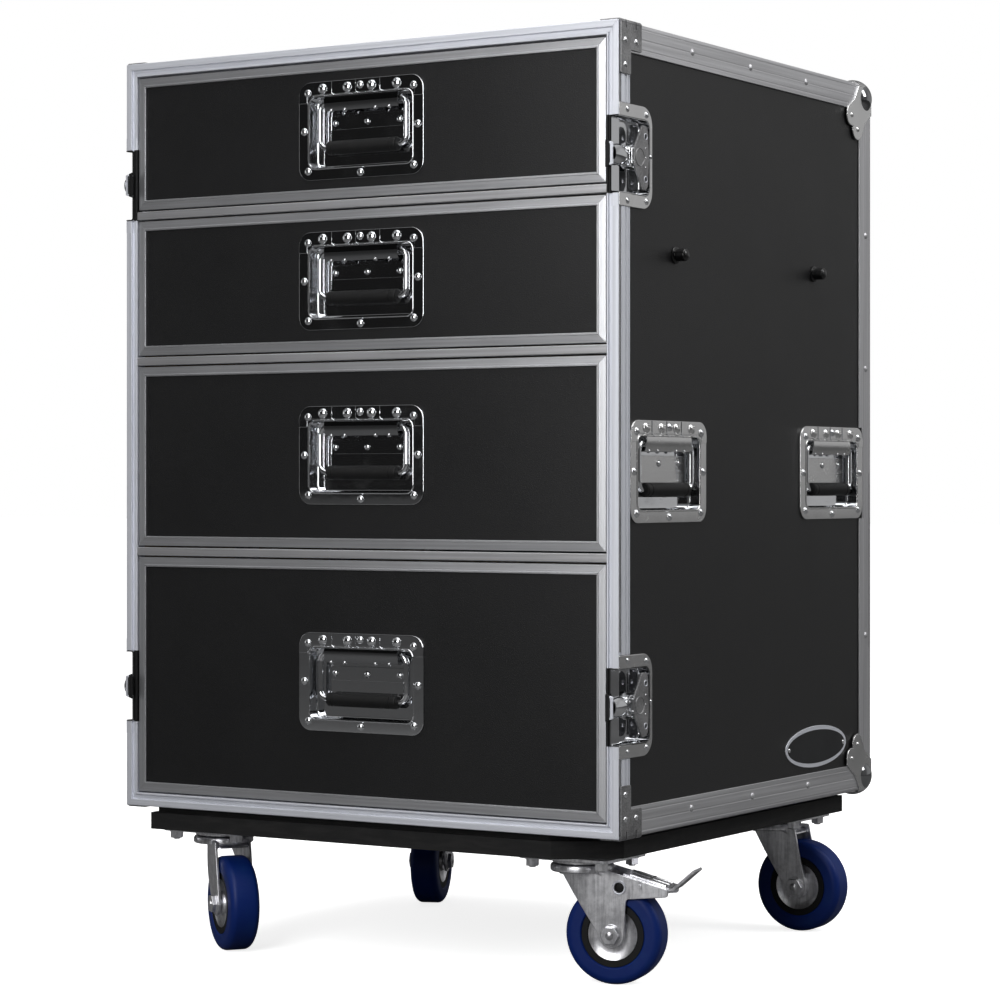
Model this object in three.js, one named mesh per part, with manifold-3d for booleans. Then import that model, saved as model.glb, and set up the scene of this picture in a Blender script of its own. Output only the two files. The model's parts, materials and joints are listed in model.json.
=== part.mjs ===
// A road case with four drawers: an aluminium-edged plywood case on a caster board.
// Millimetres, Z up, front towards -Y, right-hand side towards +X.
// The case is drawn from the middle of its front bottom edge. The outermost group then
// moves it, so that the origin lies on the floor under the middle of the whole object.

import * as THREE from "three";
import { mergeVertices } from "three/addons/utils/BufferGeometryUtils.js";
import Module from "manifold-3d";

const wasm = await Module();
wasm.setup();

// Driving dimensions: the case as a whole
const caseWidth = 610;
const caseDepth = 570;
const caseHeight = 794;
const panelWall = 9;
const pieceGap = 0.3; // air between pieces that touch on the real case
const joinDepth = 0.2; // how far a joined part sinks into what carries it
const cutOverrun = 2; // how far a cut runs past the surface it starts from

// Edge angles: an L of thin aluminium along each edge behind the front rim
const angleLeg = 30;
const angleWall = 1.6;

// Front rim: its section, from the outside edge inwards and from the front face back
const rimBandWidth = 7;
const rimGrooveWidth = 5;
const rimLipFace = 2.1;
const rimGrooveDepth = 3;
const rimLipSetBack = 0.6;
const rimWebBack = 5;
const rimLipBack = 14;
const rimLegBack = 22.4;

// Divider rails between the drawers
const dividerHeight = 8.8;
const dividerSetBack = 1;
const dividerChamfer = 0.8;
const dividerLap = 0.6;

// Drawers: the two lower ones share the height that the upper ones leave
const upperDrawerHeights = [140.8, 143.5];
const lowerDrawerShares = [0.43244, 0.56756];
const drawerTopGap = 2;
const drawerGap = 1.7;
const drawerSideGap = 1.2;
const drawerBackRoom = 39;
const boxWall = 9;
const boxFloorWall = 6;
const boxFloorRise = 6;
const boxTopDrop = 12;

// Drawer front trim
const trimWidth = 10.3;
const trimWall = 1.6;
const trimSetBack = 1.4;
const beadWidth = 2.1;
const beadHeight = 0.8;

// Drawer slides and the battens that hold them
const slideHeight = 36;
const slideWidth = 12.7;
const slideWall = 1.5;
const slideRunGap = 0.5;
const slideEndGap = 1.5;
const slideDrop = 33;
const slideFront = 20;
const battenWall = 3;
const battenWidth = 40;
const battenMargin = 10;

// Recessed handles, in their own frame: across, up, and out of the face
const dishWidth = 154.6;
const dishHeight = 101.3;
const dishCorner = 14;
const dishFlangeWall = 1.6;
const tubWidth = 127;
const tubHeight = 72;
const tubDrop = 1.6;
const tubDepth = 13;
const tubWall = 1.2;
const tubCorner = 7;
const barrelDiameter = 10.4;
const barrelLength = 24;
const barrelEndGap = 0.5;
const barrelWebHeight = 8;
const bailAxisRise = 29.5;
const bailSideGap = 7;
const bailBend = 9;
const bailPinLength = 26;
const bailClearance = 0.4;
const wireDiameter = 6;
const gripDiameter = 14.5;
const gripDrop = 18;
const gripEndGap = 1.5;
const gripRounding = 1.6;
const sideHandleHeight = 356.5;
const frontHandlePlace = 101;
const backHandleInset = 100;

// Butterfly latches, in their own frame: out of the side, back from the rim's face, up
const latchInsets = { top: 130, bottom: 128 };
const latchFlangeFront = 1;
const latchFlangeBack = 66.5;
const latchFlangeHeight = 100.5;
const latchFlangeCorner = 18;
const latchFlangeWall = 1.6;
const latchTubBack = 60.6;
const latchTubHeight = 73;
const latchTubCorner = 8;
const latchTubDepth = 13;
const latchStepDepth = 8;
const latchRampFront = 14.6;
const latchRampBack = 22;
const latchSheet = 1.2;
const drumPlace = 30;
const spindleDiameter = 8;
const drumDiameter = 22;
const drumThickness = 4.2;
const drumSink = 1.4;
const pinPlace = 27;
const pinSink = 0.2;
const pinDiameter = 2;
const knuckleDiameter = 4.4;
const knuckleBore = 2.6;
const knuckleLength = 8;
const earThickness = 3.1;
const earDiameter = 4.8;
const earGap = 0.4;
const wingThickness = 1.6;
const wingFront = 30;
const wingBack = 58.6;
const wingFrontWidth = 18;
const wingBackWidth = 64;
const wingCorner = 8;
const wingHoleDiameter = 5;
const wingHoleInset = 6.6;
const wingHoleSpan = 42;
const hookPlateThickness = 1.6;
const hookFloorGap = 0.5;
const hookFront = -5.6;
const hookBack = 46;
const hookNeckWidth = 20;
const hookTailWidth = 26;
const hookNeckBack = 16;
const hookTailFront = 22;
const hookTailCorner = 6;
const hookTravel = 8;
const hookSlotGap = 0.6;
const archWidth = 21;
const archHeight = 7;
const archWall = 1.2;
const archFront = -4;
const archBack = 18.5;
const lipOuterSink = 3.4;
const lipInnerSink = 12;
const lipOuterHeight = 21;
const lipInnerHeight = 27;
const lipThickness = 1.6;

// Back corners: a steel ball with three leaves
const ballRadius = 20;
const ballInset = 15;
const ballWall = 1.2;
const leafWall = 1.5;
const leafFold = 5;
const leafEdgeReach = 34;
const leafWaistAlong = 44.5;
const leafWaistAcross = 19;
const leafShoulderAlong = 59;
const leafShoulderAcross = 28.5;
const leafRivetAlong = 52.6;
const leafRivetAcross = 37.7;
const leafLobe = 12;

// Front corners: a flat brace folded over the edge
const braceWall = 1.2;
const braceFront = 3;
const braceLength = 40;
const braceHeight = 28;
const braceLegWidth = 19;
const braceLegHeight = 52;
const braceFlap = 21;
const braceSlitWidth = 1.6;
const braceSlitHeight = 7;
const braceSlitPlaces = [9, 28];

// Lid studs on the sides
const studDrop = 221;
const frontStudPlace = 116;
const backStudInset = 143;
const studDiameter = 12.6;
const studReach = 13;
const studDome = 3;
const studShoulder = 1.5;
const studShoulderDrop = 1;

// Caster board: a thick plywood board under a thinner packing board
const boardSideInset = 25;
const boardFront = 10;
const boardBackInset = 22;
const boardWall = 18;
const packingWall = 7;
const packingInset = 6;
const boardClipWidth = 58;
const boardClipDepth = 44;

// Casters, in their own frame: along the trail, across, up from the case's bottom
const casterHeight = 127;
const swivelSideInset = 55;
const swivelFrontInset = 56;
const swivelBackInset = 64;
const plateLength = 104;
const plateWidth = 84;
const plateWall = 3;
const boltSpanLong = 80;
const boltSpanShort = 60;
const boltReach = 12.5;
const nutWidth = 13;
const raceDiameter = 60;
const raceHeight = 5;
const kingpinDiameter = 12;
const kingpinReach = 22;
const kingpinNutWidth = 20;
const kingpinNutHeight = 5.4;
const crownDiameter = 64;
const crownHeight = 7.6;
const swivelGap = 0.4;
const trail = 36.5;
const wheelDiameter = 100;
const wheelWidth = 32;
const treadFlat = 18;
const treadCorner = 8;
const coreDiameter = 66;
const coreSink = 2.5;
const hubWidth = 30;
const hubDiameter = 26;
const axleDiameter = 12;
const wheelBore = 13.2;
const axleHeadWidth = 18;
const axleHeadHeight = 6;
const forkWidth = 40;
const forkWall = 2.5;
const forkTopSink = 36;
const forkTail = 22;
const forkNose = 35;
const forkHubRadius = 13;
const brakeShoulder = 25;
const brakeNose = 95;
const brakeNoseTop = 54;
const brakeNoseBottom = 62;
const brakeThroat = 52;
const brakeThroatSink = 66;
const brakeHolePlace = 45;
const brakeHoleSink = 54.4;
const brakeHoleDiameter = 10;

// Brake pedal, in its caster's frame
const pedalPivotPlace = 66;
const pedalPivotSink = 53;
const pedalPinDiameter = 5;
const pedalPinHole = 5.8;
const pedalPinProud = 0.8;
const pedalHubRadius = 5;
const pedalWidth = 33;
const pedalTongueWidth = 28;
const pedalPlateWall = 2.6;
const pedalRear = 48;
const pedalRearSink = 43;
const pedalBend = 98;
const pedalBendSink = 57;
const pedalTip = 121;
const pedalTipSink = 37;
const shoeFront = 69;
const shoeFrontSink = 60.5;
const shoeLow = 74.5;
const shoeLowSink = 64.2;
const shoeBack = 80;

// How each caster stands: the turn of its trail from +X, in degrees, and which have a brake
const casterStands = {
  front_right: { side: 1, atBack: false, turn: 12.1, brake: true },
  front_left: { side: -1, atBack: false, turn: -36, brake: false },
  back_right: { side: 1, atBack: true, turn: 1.2, brake: false },
  back_left: { side: -1, atBack: true, turn: -68.8, brake: true },
};

// Facets: how finely round shapes are cut
const cornerSteps = 2;
const plainSteps = 1;
const smallSides = 8;
const pivotSides = 12;
const nutSides = 6;
const wireSides = 6;
const gripSides = 10;
const largeSides = 16;
const wheelSides = 20;
const ballSides = 12;
const bendSteps = 2;

// Derived places that several pieces share
const halfWidth = caseWidth / 2;
const skinDepth = angleWall + pieceGap; // from an outside face to its panel
const liningDepth = skinDepth + panelWall; // from an outside face to the panel's inner side
const panelFront = rimWebBack + pieceGap;
const sideSpanLow = liningDepth + pieceGap;
const sideSpanHigh = caseHeight - liningDepth - pieceGap;
const rimWidth = rimBandWidth + rimGrooveWidth + rimLipFace;
const rimLipInset = liningDepth + pieceGap;
const trimHalfWidth = halfWidth - rimWidth - drawerSideGap;
const drawerPanelFront = trimSetBack + trimWall + pieceGap;
const drawerPanelBack = drawerPanelFront + panelWall;
const drawerPanelInset = trimWall + pieceGap;
const lining = halfWidth - liningDepth;
const battenFace = lining - pieceGap - battenWall;
const boxHalfWidth = battenFace - slideWidth - pieceGap;
const boxBack = caseDepth - liningDepth - drawerBackRoom;
const tubBackDepth = tubDepth + tubWall - dishFlangeWall;
const bailAxisSink = barrelDiameter / 2 - dishFlangeWall;
const bailArm = tubWidth / 2 - bailSideGap - wireDiameter / 2;
const barrelReach = bailArm - bailBend - barrelEndGap;
const backHandlePlace = caseDepth - backHandleInset;
const studPlaces = [frontStudPlace, caseDepth - backStudInset];
const boardReach = halfWidth - boardSideInset;
const boardBack = caseDepth - boardBackInset;
const swivelReach = boardReach - swivelSideInset;
const boardTop = -pieceGap;
const boardLow = -packingWall - boardWall;
const plateLow = boardLow - plateWall;
const raceLow = plateLow - raceHeight;
const crownTop = raceLow - swivelGap;
const crownLow = crownTop - crownHeight;
const floorHeight = boardLow - casterHeight;
const wheelRadius = wheelDiameter / 2;
const axleHeight = floorHeight + wheelRadius;
const hookPlateTop = latchStepDepth - hookFloorGap - hookPlateThickness;
const drumLow = drumSink + drumThickness;

// Materials, one for each finish
const finish = (color, roughness, metalness) =>
  new THREE.MeshStandardMaterial({ color, roughness, metalness, flatShading: true });
const laminate = finish(0x1d1e20, 0.62, 0);
const aluminium = finish(0xb9bcc0, 0.38, 1);
const chrome = finish(0xc9ccd0, 0.14, 1);
const zinc = finish(0xaeb2b5, 0.42, 1);
const boardPaint = finish(0x131314, 0.78, 0);
const blueTread = finish(0x123f86, 0.5, 0);
const pedalZinc = finish(0xa8abad, 0.4, 1);

// Helpers: solids out of three.js geometry
const turnUpright = {
  x: new THREE.Matrix4().makeBasis(
    new THREE.Vector3(0, 1, 0), new THREE.Vector3(0, 0, 1), new THREE.Vector3(1, 0, 0)),
  y: new THREE.Matrix4().makeBasis(
    new THREE.Vector3(1, 0, 0), new THREE.Vector3(0, 0, 1), new THREE.Vector3(0, 1, 0)),
  z: new THREE.Matrix4(),
};

// A closed geometry as a solid: corners are merged, and its faces are turned outwards.
function solid(geometry) {
  const bare = geometry.clone();
  bare.deleteAttribute("normal");
  bare.deleteAttribute("uv");
  const merged = mergeVertices(bare);
  const corners = merged.index.array;
  const make = (second, third) => {
    const triangles = [];
    for (let i = 0; i < corners.length; i += 3) {
      const face = [corners[i], corners[i + second], corners[i + third]];
      if (new Set(face).size === face.length) triangles.push(...face);
    }
    return new wasm.Manifold(new wasm.Mesh({
      numProp: 3,
      vertProperties: new Float32Array(merged.attributes.position.array),
      triVerts: new Uint32Array(triangles),
    }));
  };
  const made = make(1, 2);
  return made.volume() < 0 ? make(2, 1) : made;
}

function join(first, ...others) {
  return others.reduce((whole, other) => whole.add(other), first);
}

function cut(body, ...tools) {
  return tools.reduce((left, tool) => left.subtract(tool), body);
}

// A box between two bounds on each axis.
function block([x0, x1], [y0, y1], [z0, z1]) {
  const box = new THREE.BoxGeometry(Math.abs(x1 - x0), y1 - y0, z1 - z0);
  return solid(box.translate((x0 + x1) / 2, (y0 + y1) / 2, (z0 + z1) / 2));
}

// An outline carried along an axis. It is drawn in (y, z) for x, (x, z) for y, (x, y) for z.
function prism(outline, [from, to], axis, curveSegments = cornerSteps) {
  const steps = { depth: to - from, bevelEnabled: false, curveSegments };
  const body = new THREE.ExtrudeGeometry(outline, steps).translate(0, 0, from);
  return solid(body.applyMatrix4(turnUpright[axis]));
}

// A round bar along an axis, about the point (a, b) of the plane across it.
function rod(diameter, axis, [from, to], [a, b], sides = smallSides) {
  const radius = diameter / 2;
  const bar = new THREE.CylinderGeometry(radius, radius, to - from, sides).rotateX(Math.PI / 2);
  return solid(bar.translate(a, b, (from + to) / 2).applyMatrix4(turnUpright[axis]));
}

// A profile of (radius, height) points turned about an axis.
function turned(profile, axis, [a, b], sides) {
  const points = profile.map(([radius, height]) => new THREE.Vector2(radius, height));
  const body = new THREE.LatheGeometry(points, sides).rotateX(Math.PI / 2);
  return solid(body.translate(a, b, 0).applyMatrix4(turnUpright[axis]));
}

function polygon(points) {
  return new THREE.Shape(points.map(([a, b]) => new THREE.Vector2(a, b)));
}

// An arc about the point (a, b), joined to what is already drawn by a straight line.
function addArc(outline, [a, b], radius, from, to) {
  outline.lineTo(a + radius * Math.cos(from), b + radius * Math.sin(from));
  outline.absarc(a, b, radius, from, to, false);
}

// A rectangle with round corners about the point (a, b).
function roundedRectangle(width, height, corner, [a, b]) {
  const x = width / 2 - corner;
  const y = height / 2 - corner;
  const outline = new THREE.Shape();
  outline.absarc(a + x, b - y, corner, -Math.PI / 2, 0, false);
  outline.absarc(a + x, b + y, corner, 0, Math.PI / 2, false);
  outline.absarc(a - x, b + y, corner, Math.PI / 2, Math.PI, false);
  outline.absarc(a - x, b - y, corner, Math.PI, Math.PI + Math.PI / 2, false);
  return outline;
}

// A section of (inwards, back) points carried round a rectangle, mitred at its corners.
function mitredFrame(section, reach, low, high) {
  const rings = section.map(([inwards, back]) => [
    [-reach + inwards, back, low + inwards],
    [reach - inwards, back, low + inwards],
    [reach - inwards, back, high - inwards],
    [-reach + inwards, back, high - inwards],
  ]);
  const triangles = rings.flatMap((ring, i) => {
    const next = rings[(i + 1) % rings.length];
    return ring.flatMap((corner, j) => {
      const k = (j + 1) % ring.length;
      return [corner, ring[k], next[k], corner, next[k], next[j]];
    });
  });
  const geometry = new THREE.BufferGeometry();
  geometry.setAttribute("position", new THREE.Float32BufferAttribute(triangles.flat(), 3));
  return solid(geometry);
}

// A route of straight runs with round bends, for a bent wire. Each step is one facet ring.
class WireRoute extends THREE.Curve {
  constructor(corners, bend) {
    super();
    this.stops = [{ at: corners[0], way: corners[1].clone().sub(corners[0]).normalize() }];
    for (let i = 1; i < corners.length - 1; i += 1) {
      const before = corners[i].clone().sub(corners[i - 1]).normalize();
      const after = corners[i + 1].clone().sub(corners[i]).normalize();
      const centre = corners[i].clone().addScaledVector(before, -bend).addScaledVector(after, bend);
      for (let step = 0; step <= bendSteps; step += 1) {
        const angle = (step / bendSteps) * (Math.PI / 2);
        this.stops.push({
          at: centre.clone()
            .addScaledVector(after, -bend * Math.cos(angle))
            .addScaledVector(before, bend * Math.sin(angle)),
          way: before.clone().multiplyScalar(Math.cos(angle)).addScaledVector(after, Math.sin(angle)),
        });
      }
    }
    const last = corners.length - 1;
    this.stops.push({
      at: corners[last],
      way: corners[last].clone().sub(corners[last - 1]).normalize(),
    });
    this.steps = this.stops.length - 1;
  }

  getPointAt(share) {
    return this.stops[Math.round(share * this.steps)].at.clone();
  }

  getTangentAt(share) {
    return this.stops[Math.round(share * this.steps)].way.clone();
  }
}

function bentWire(corners, bend, diameter, sides) {
  const route = new WireRoute(corners.map(([a, b]) => new THREE.Vector3(a, b, 0)), bend);
  const round = Array.from({ length: sides }, (_, i) => {
    const angle = (i / sides) * Math.PI * 2;
    return [(diameter / 2) * Math.cos(angle), (diameter / 2) * Math.sin(angle)];
  });
  return solid(new THREE.ExtrudeGeometry(polygon(round), { extrudePath: route, steps: route.steps }));
}

function piece(name, body, material) {
  const { vertProperties, triVerts } = body.getMesh();
  const geometry = new THREE.BufferGeometry();
  geometry.setAttribute("position", new THREE.BufferAttribute(vertProperties, 3));
  geometry.setIndex(new THREE.BufferAttribute(triVerts, 1));
  const mesh = new THREE.Mesh(geometry, material);
  mesh.name = name;
  return mesh;
}

const sides = { right: 1, left: -1 };
const levels = { top: 1, bottom: -1 };
const span = (a, b) => [Math.min(a, b), Math.max(a, b)];

// The three faces that meet at a back corner. Each gives a place for an outline drawn from
// the corner: its two directions along the face, and the way out.
function cornerFaces(side, level) {
  const across = new THREE.Vector3(-side, 0, 0);
  const forward = new THREE.Vector3(0, -1, 0);
  const inwards = new THREE.Vector3(0, 0, -level);
  const corner = new THREE.Vector3(side * halfWidth, caseDepth, level > 0 ? caseHeight : 0);
  const face = (along, beside, into) => new THREE.Matrix4()
    .makeBasis(along, beside, into.clone().negate()).setPosition(corner);
  return [face(forward, inwards, across), face(across, forward, inwards), face(across, inwards, forward)];
}

// Everything of the case that lies beyond a back ball's centre on all three axes.
function ballCorner(side, level) {
  const x = side * (halfWidth - ballInset);
  const y = caseDepth - ballInset;
  const z = level > 0 ? caseHeight - ballInset : ballInset;
  return block(
    span(x, x + side * (ballInset + leafWall + cutOverrun)),
    [y, caseDepth + leafWall + cutOverrun],
    span(z, z + level * (ballInset + leafWall + cutOverrun)),
  );
}

function ball(radius, side, level) {
  const sphere = new THREE.SphereGeometry(radius, ballSides, ballSides / 2);
  const z = level > 0 ? caseHeight - ballInset : ballInset;
  return solid(sphere.translate(side * (halfWidth - ballInset), caseDepth - ballInset, z));
}

function forBackCorners(make) {
  return Object.values(sides).flatMap((side) => Object.values(levels).map((level) => make(side, level)));
}

// The tools that trim a panel so that its corner lies inside the ball.
const panelTrims = forBackCorners((side, level) =>
  cut(ballCorner(side, level), ball(ballRadius - ballWall - pieceGap, side, level)));

function trimmed(panel) {
  return cut(panel, ...panelTrims);
}

// One leaf of a ball corner: two round lobes about its rivets and a waist towards each edge.
function leafOutline() {
  const edge = -leafWall;
  const shoulderTurn = Math.atan2(
    leafShoulderAcross - leafRivetAcross, leafShoulderAlong - leafRivetAlong);
  const offDiagonal = (leafRivetAlong - leafRivetAcross) / Math.SQRT2;
  const diagonal = Math.PI / 4;
  const cuspTurn = Math.PI - diagonal - Math.acos(offDiagonal / leafLobe);
  const outline = new THREE.Shape();
  outline.moveTo(edge, edge);
  outline.lineTo(leafEdgeReach, edge);
  outline.lineTo(leafWaistAlong, leafWaistAcross);
  addArc(outline, [leafRivetAlong, leafRivetAcross], leafLobe, shoulderTurn, cuspTurn);
  addArc(outline, [leafRivetAcross, leafRivetAlong], leafLobe,
    Math.PI / 2 - cuspTurn, Math.PI / 2 - shoulderTurn);
  outline.lineTo(leafWaistAcross, leafWaistAlong);
  outline.lineTo(edge, leafEdgeReach);
  return outline;
}

// The tools that round the fold between two leaves, along each of the three edges.
function leafFolds(side, level) {
  const x = side * (halfWidth + leafWall);
  const y = caseDepth + leafWall;
  const z = level > 0 ? caseHeight + leafWall : -leafWall;
  const inX = x - side * leafFold;
  const inY = y - leafFold;
  const inZ = z - level * leafFold;
  const long = leafEdgeReach + leafWall + cutOverrun;
  const outX = x + side * cutOverrun;
  const outY = y + cutOverrun;
  const outZ = z + level * cutOverrun;
  const farX = span(x - side * long, outX);
  const farY = [y - long, outY];
  const farZ = span(z - level * long, outZ);
  const round = leafFold * 2;
  return [
    cut(block(farX, [inY, outY], span(inZ, outZ)), rod(round, "x", farX, [inY, inZ])),
    cut(block(span(inX, outX), farY, span(inZ, outZ)), rod(round, "y", farY, [inX, inZ])),
    cut(block(span(inX, outX), [inY, outY], farZ), rod(round, "z", farZ, [inX, inY])),
  ];
}

function ballCornerLeaves(side, level) {
  const leaf = new THREE.ExtrudeGeometry(
    leafOutline(), { depth: leafWall + joinDepth, bevelEnabled: false, curveSegments: cornerSteps });
  leaf.translate(0, 0, -joinDepth);
  const leaves = cornerFaces(side, level).map((place) => solid(leaf.clone().applyMatrix4(place)));
  return cut(join(...leaves), ...leafFolds(side, level));
}

// The ball itself, hollowed where the trimmed case corner sits.
function ballShell(side, level) {
  const core = block(
    span(0, side * (halfWidth - angleWall)),
    [0, caseDepth - angleWall],
    span(caseHeight / 2, level > 0 ? caseHeight - angleWall : angleWall),
  );
  const beyond = cut(ballCorner(side, level), ball(ballRadius - ballWall, side, level));
  return cut(ball(ballRadius, side, level), cut(core, beyond));
}

// A front corner brace: a stepped plate on the side, folded over the case's edge.
function cornerBrace(side, level) {
  const edge = level > 0 ? caseHeight : 0;
  const up = (distance) => edge - level * distance;
  const out = side * (halfWidth + pieceGap + braceWall);
  const top = edge + level * (pieceGap + braceWall);
  const back = braceFront + braceLength;
  const behindRim = rimLegBack + pieceGap;
  const outline = polygon([
    [braceFront, top], [back, top], [back, up(braceHeight)],
    [braceFront + braceLegWidth, up(braceHeight)],
    [braceFront + braceLegWidth, up(braceLegHeight)], [braceFront, up(braceLegHeight)],
  ]);
  const plate = prism(outline, span(side * (halfWidth + pieceGap), out), "x");
  const flap = block(
    span(out, side * (halfWidth - braceFlap)), [braceFront, back], span(edge + level * pieceGap, top));
  const sideSeat = block(
    span(side * (halfWidth - joinDepth), out), [behindRim, back], span(up(braceHeight), top));
  const topSeat = block(
    span(out, side * (halfWidth - braceFlap)), [behindRim, back],
    span(edge - level * joinDepth, top));
  const slits = braceSlitPlaces.map((place) => block(
    span(side * halfWidth, out + side * cutOverrun),
    [braceFront + place, braceFront + place + braceSlitWidth],
    span(up(0), up(braceSlitHeight))));
  return cut(join(plate, flap, sideSeat, topSeat), ...slits);
}

// The eight edge angles, cut for the back handles and rounded off inside the balls.
function edgeAngles() {
  const start = rimLegBack + pieceGap;
  const bars = [];
  for (const side of Object.values(sides)) {
    const outX = side * halfWidth;
    const skinX = span(outX, outX - side * angleWall);
    const legX = span(outX, outX - side * angleLeg);
    bars.push(block(skinX, [caseDepth - angleLeg, caseDepth], [0, caseHeight]));
    bars.push(block(legX, [caseDepth - angleWall, caseDepth], [0, caseHeight]));
    for (const level of Object.values(levels)) {
      const outZ = level > 0 ? caseHeight : 0;
      bars.push(block(skinX, [start, caseDepth], span(outZ, outZ - level * angleLeg)));
      bars.push(block(legX, [start, caseDepth], span(outZ, outZ - level * angleWall)));
    }
  }
  for (const level of Object.values(levels)) {
    const outZ = level > 0 ? caseHeight : 0;
    const skinZ = span(outZ, outZ - level * angleWall);
    const legZ = span(outZ, outZ - level * angleLeg);
    bars.push(block([-halfWidth, halfWidth], [caseDepth - angleLeg, caseDepth], skinZ));
    bars.push(block([-halfWidth, halfWidth], [caseDepth - angleWall, caseDepth], legZ));
  }
  return join(...bars);
}

// The outline of a handle's flange as a hole, on the side of the case.
function sideFlangeHole(side, place) {
  const hole = roundedRectangle(
    dishWidth + pieceGap * 2, dishHeight + pieceGap * 2, dishCorner + pieceGap,
    [place, sideHandleHeight]);
  return prism(hole, span(side * lining, side * (halfWidth + cutOverrun)), "x");
}

function edgeFrame() {
  const handleHoles = Object.values(sides).map((side) => sideFlangeHole(side, backHandlePlace));
  const leaves = forBackCorners(ballCornerLeaves);
  const beyondBalls = forBackCorners((side, level) =>
    cut(ballCorner(side, level), ball(ballRadius, side, level)));
  const shells = forBackCorners(ballShell);
  const braces = forBackCorners(cornerBrace);
  const sheet = cut(join(edgeAngles(), ...leaves), ...handleHoles, ...beyondBalls);
  return piece("edge_frame", join(sheet, ...shells, ...braces), aluminium);
}

// Drawer places, from the top down: each drawer's top edge and height, and the rails between
function drawerHeights() {
  const railRoom = dividerHeight + drawerGap * 2;
  const count = upperDrawerHeights.length + lowerDrawerShares.length;
  const inside = caseHeight - rimWidth * 2 - drawerTopGap - drawerGap - railRoom * (count - 1);
  const left = upperDrawerHeights.reduce((rest, height) => rest - height, inside);
  return [...upperDrawerHeights, ...lowerDrawerShares.map((share) => left * share)];
}

const drawers = [];
for (const height of drawerHeights()) {
  const above = drawers.at(-1);
  const top = above
    ? above.top - above.height - dividerHeight - drawerGap * 2
    : caseHeight - rimWidth - drawerTopGap;
  drawers.push({ top, height });
}
const dividerTops = drawers.slice(0, -1).map(({ top, height }) => top - height - drawerGap);

function rimSection() {
  const grooveEnd = rimBandWidth + rimGrooveWidth;
  return [
    [0, 0], [rimBandWidth, 0], [rimBandWidth, rimGrooveDepth], [grooveEnd, rimGrooveDepth],
    [grooveEnd, rimLipSetBack], [rimWidth, rimLipSetBack], [rimWidth, rimLipBack],
    [rimLipInset, rimLipBack], [rimLipInset, rimWebBack], [angleWall, rimWebBack],
    [angleWall, rimLegBack], [0, rimLegBack],
  ];
}

function dividerRail(top) {
  const low = top - dividerHeight;
  const reach = halfWidth - rimWidth + dividerLap;
  const outline = polygon([
    [rimLipBack, low], [rimLipBack, top], [dividerSetBack + dividerChamfer, top],
    [dividerSetBack, top - dividerChamfer], [dividerSetBack, low + dividerChamfer],
    [dividerSetBack + dividerChamfer, low],
  ]);
  return prism(outline, [-reach, reach], "x");
}

// What a latch takes out of the rim: a notch for its tub, and a pocket for its flange.
function latchNotch(side, middle) {
  const out = side * (halfWidth + cutOverrun);
  const room = latchTubHeight / 2 + latchSheet + pieceGap;
  const flangeRoom = latchFlangeHeight / 2 + pieceGap;
  const notchDepth = latchStepDepth + latchSheet + pieceGap;
  const notch = block(
    span(out, side * (halfWidth - notchDepth)), [-cutOverrun, rimLegBack + cutOverrun],
    [middle - room, middle + room]);
  const pocket = block(
    span(out, side * (halfWidth - latchFlangeWall - pieceGap)),
    [latchFlangeFront - pieceGap, rimLegBack + cutOverrun],
    [middle - flangeRoom, middle + flangeRoom]);
  return join(notch, pocket);
}

// Each latch has its side and its level, and its middle's height above the case's bottom.
const latchMiddles = { top: caseHeight - latchInsets.top, bottom: latchInsets.bottom };

function forLatches(make) {
  return Object.entries(sides).flatMap(([sideName, side]) =>
    Object.entries(latchMiddles).map(([level, middle]) => make(side, middle, `${sideName}_${level}`)));
}

function frontRim() {
  const frame = mitredFrame(rimSection(), halfWidth, 0, caseHeight);
  const notches = forLatches(latchNotch);
  const rails = dividerTops.map(dividerRail);
  return piece("front_rim", cut(join(frame, ...rails), ...notches), aluminium);
}

// Panels
function handleHole(side, place) {
  const room = tubWall + pieceGap;
  const hole = roundedRectangle(
    tubWidth + room * 2, tubHeight + room * 2, tubCorner + room,
    [place, sideHandleHeight - tubDrop]);
  return prism(
    hole, span(side * (lining - cutOverrun), side * (halfWidth + cutOverrun)), "x", plainSteps);
}

function latchHole(side, middle) {
  const room = latchSheet + pieceGap;
  const half = latchTubHeight / 2 + room;
  return block(
    span(side * (lining - cutOverrun), side * halfWidth), [0, latchTubBack + room],
    [middle - half, middle + half]);
}

// A lid stud: a round black screw with a low dome, standing out of the side panel.
function stud(side, place) {
  const foot = halfWidth - skinDepth - joinDepth;
  const radius = studDiameter / 2;
  const tip = halfWidth + studReach;
  const profile = [
    [0, foot], [radius, foot], [radius, tip - studDome],
    [radius - studShoulder, tip - studShoulderDrop], [radius / 2, tip], [0, tip],
  ].map(([r, x]) => [r, side * x]);
  return turned(profile, "x", [place, caseHeight - studDrop], smallSides);
}

function sidePanel(sideName, side) {
  const board = block(
    span(side * (halfWidth - skinDepth), side * lining), [panelFront, caseDepth - skinDepth],
    [sideSpanLow, sideSpanHigh]);
  const holes = [
    handleHole(side, frontHandlePlace), handleHole(side, backHandlePlace),
    ...Object.values(latchMiddles).map((middle) => latchHole(side, middle)),
  ];
  const studs = studPlaces.map((place) => stud(side, place));
  return piece(`${sideName}_side_panel`, join(cut(trimmed(board), ...holes), ...studs), laminate);
}

function levelPanel(name, low) {
  const reach = halfWidth - skinDepth;
  const board = block([-reach, reach], [panelFront, caseDepth - skinDepth], [low, low + panelWall]);
  return piece(name, trimmed(board), laminate);
}

function backPanel() {
  const reach = lining - pieceGap;
  const board = block(
    [-reach, reach], [caseDepth - liningDepth, caseDepth - skinDepth], [sideSpanLow, sideSpanHigh]);
  return piece("back_panel", trimmed(board), laminate);
}

// Slides. Sideways places are given as distances from the batten's face towards the drawer.
const slideCentre = ({ top }) => top - slideDrop;

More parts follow.
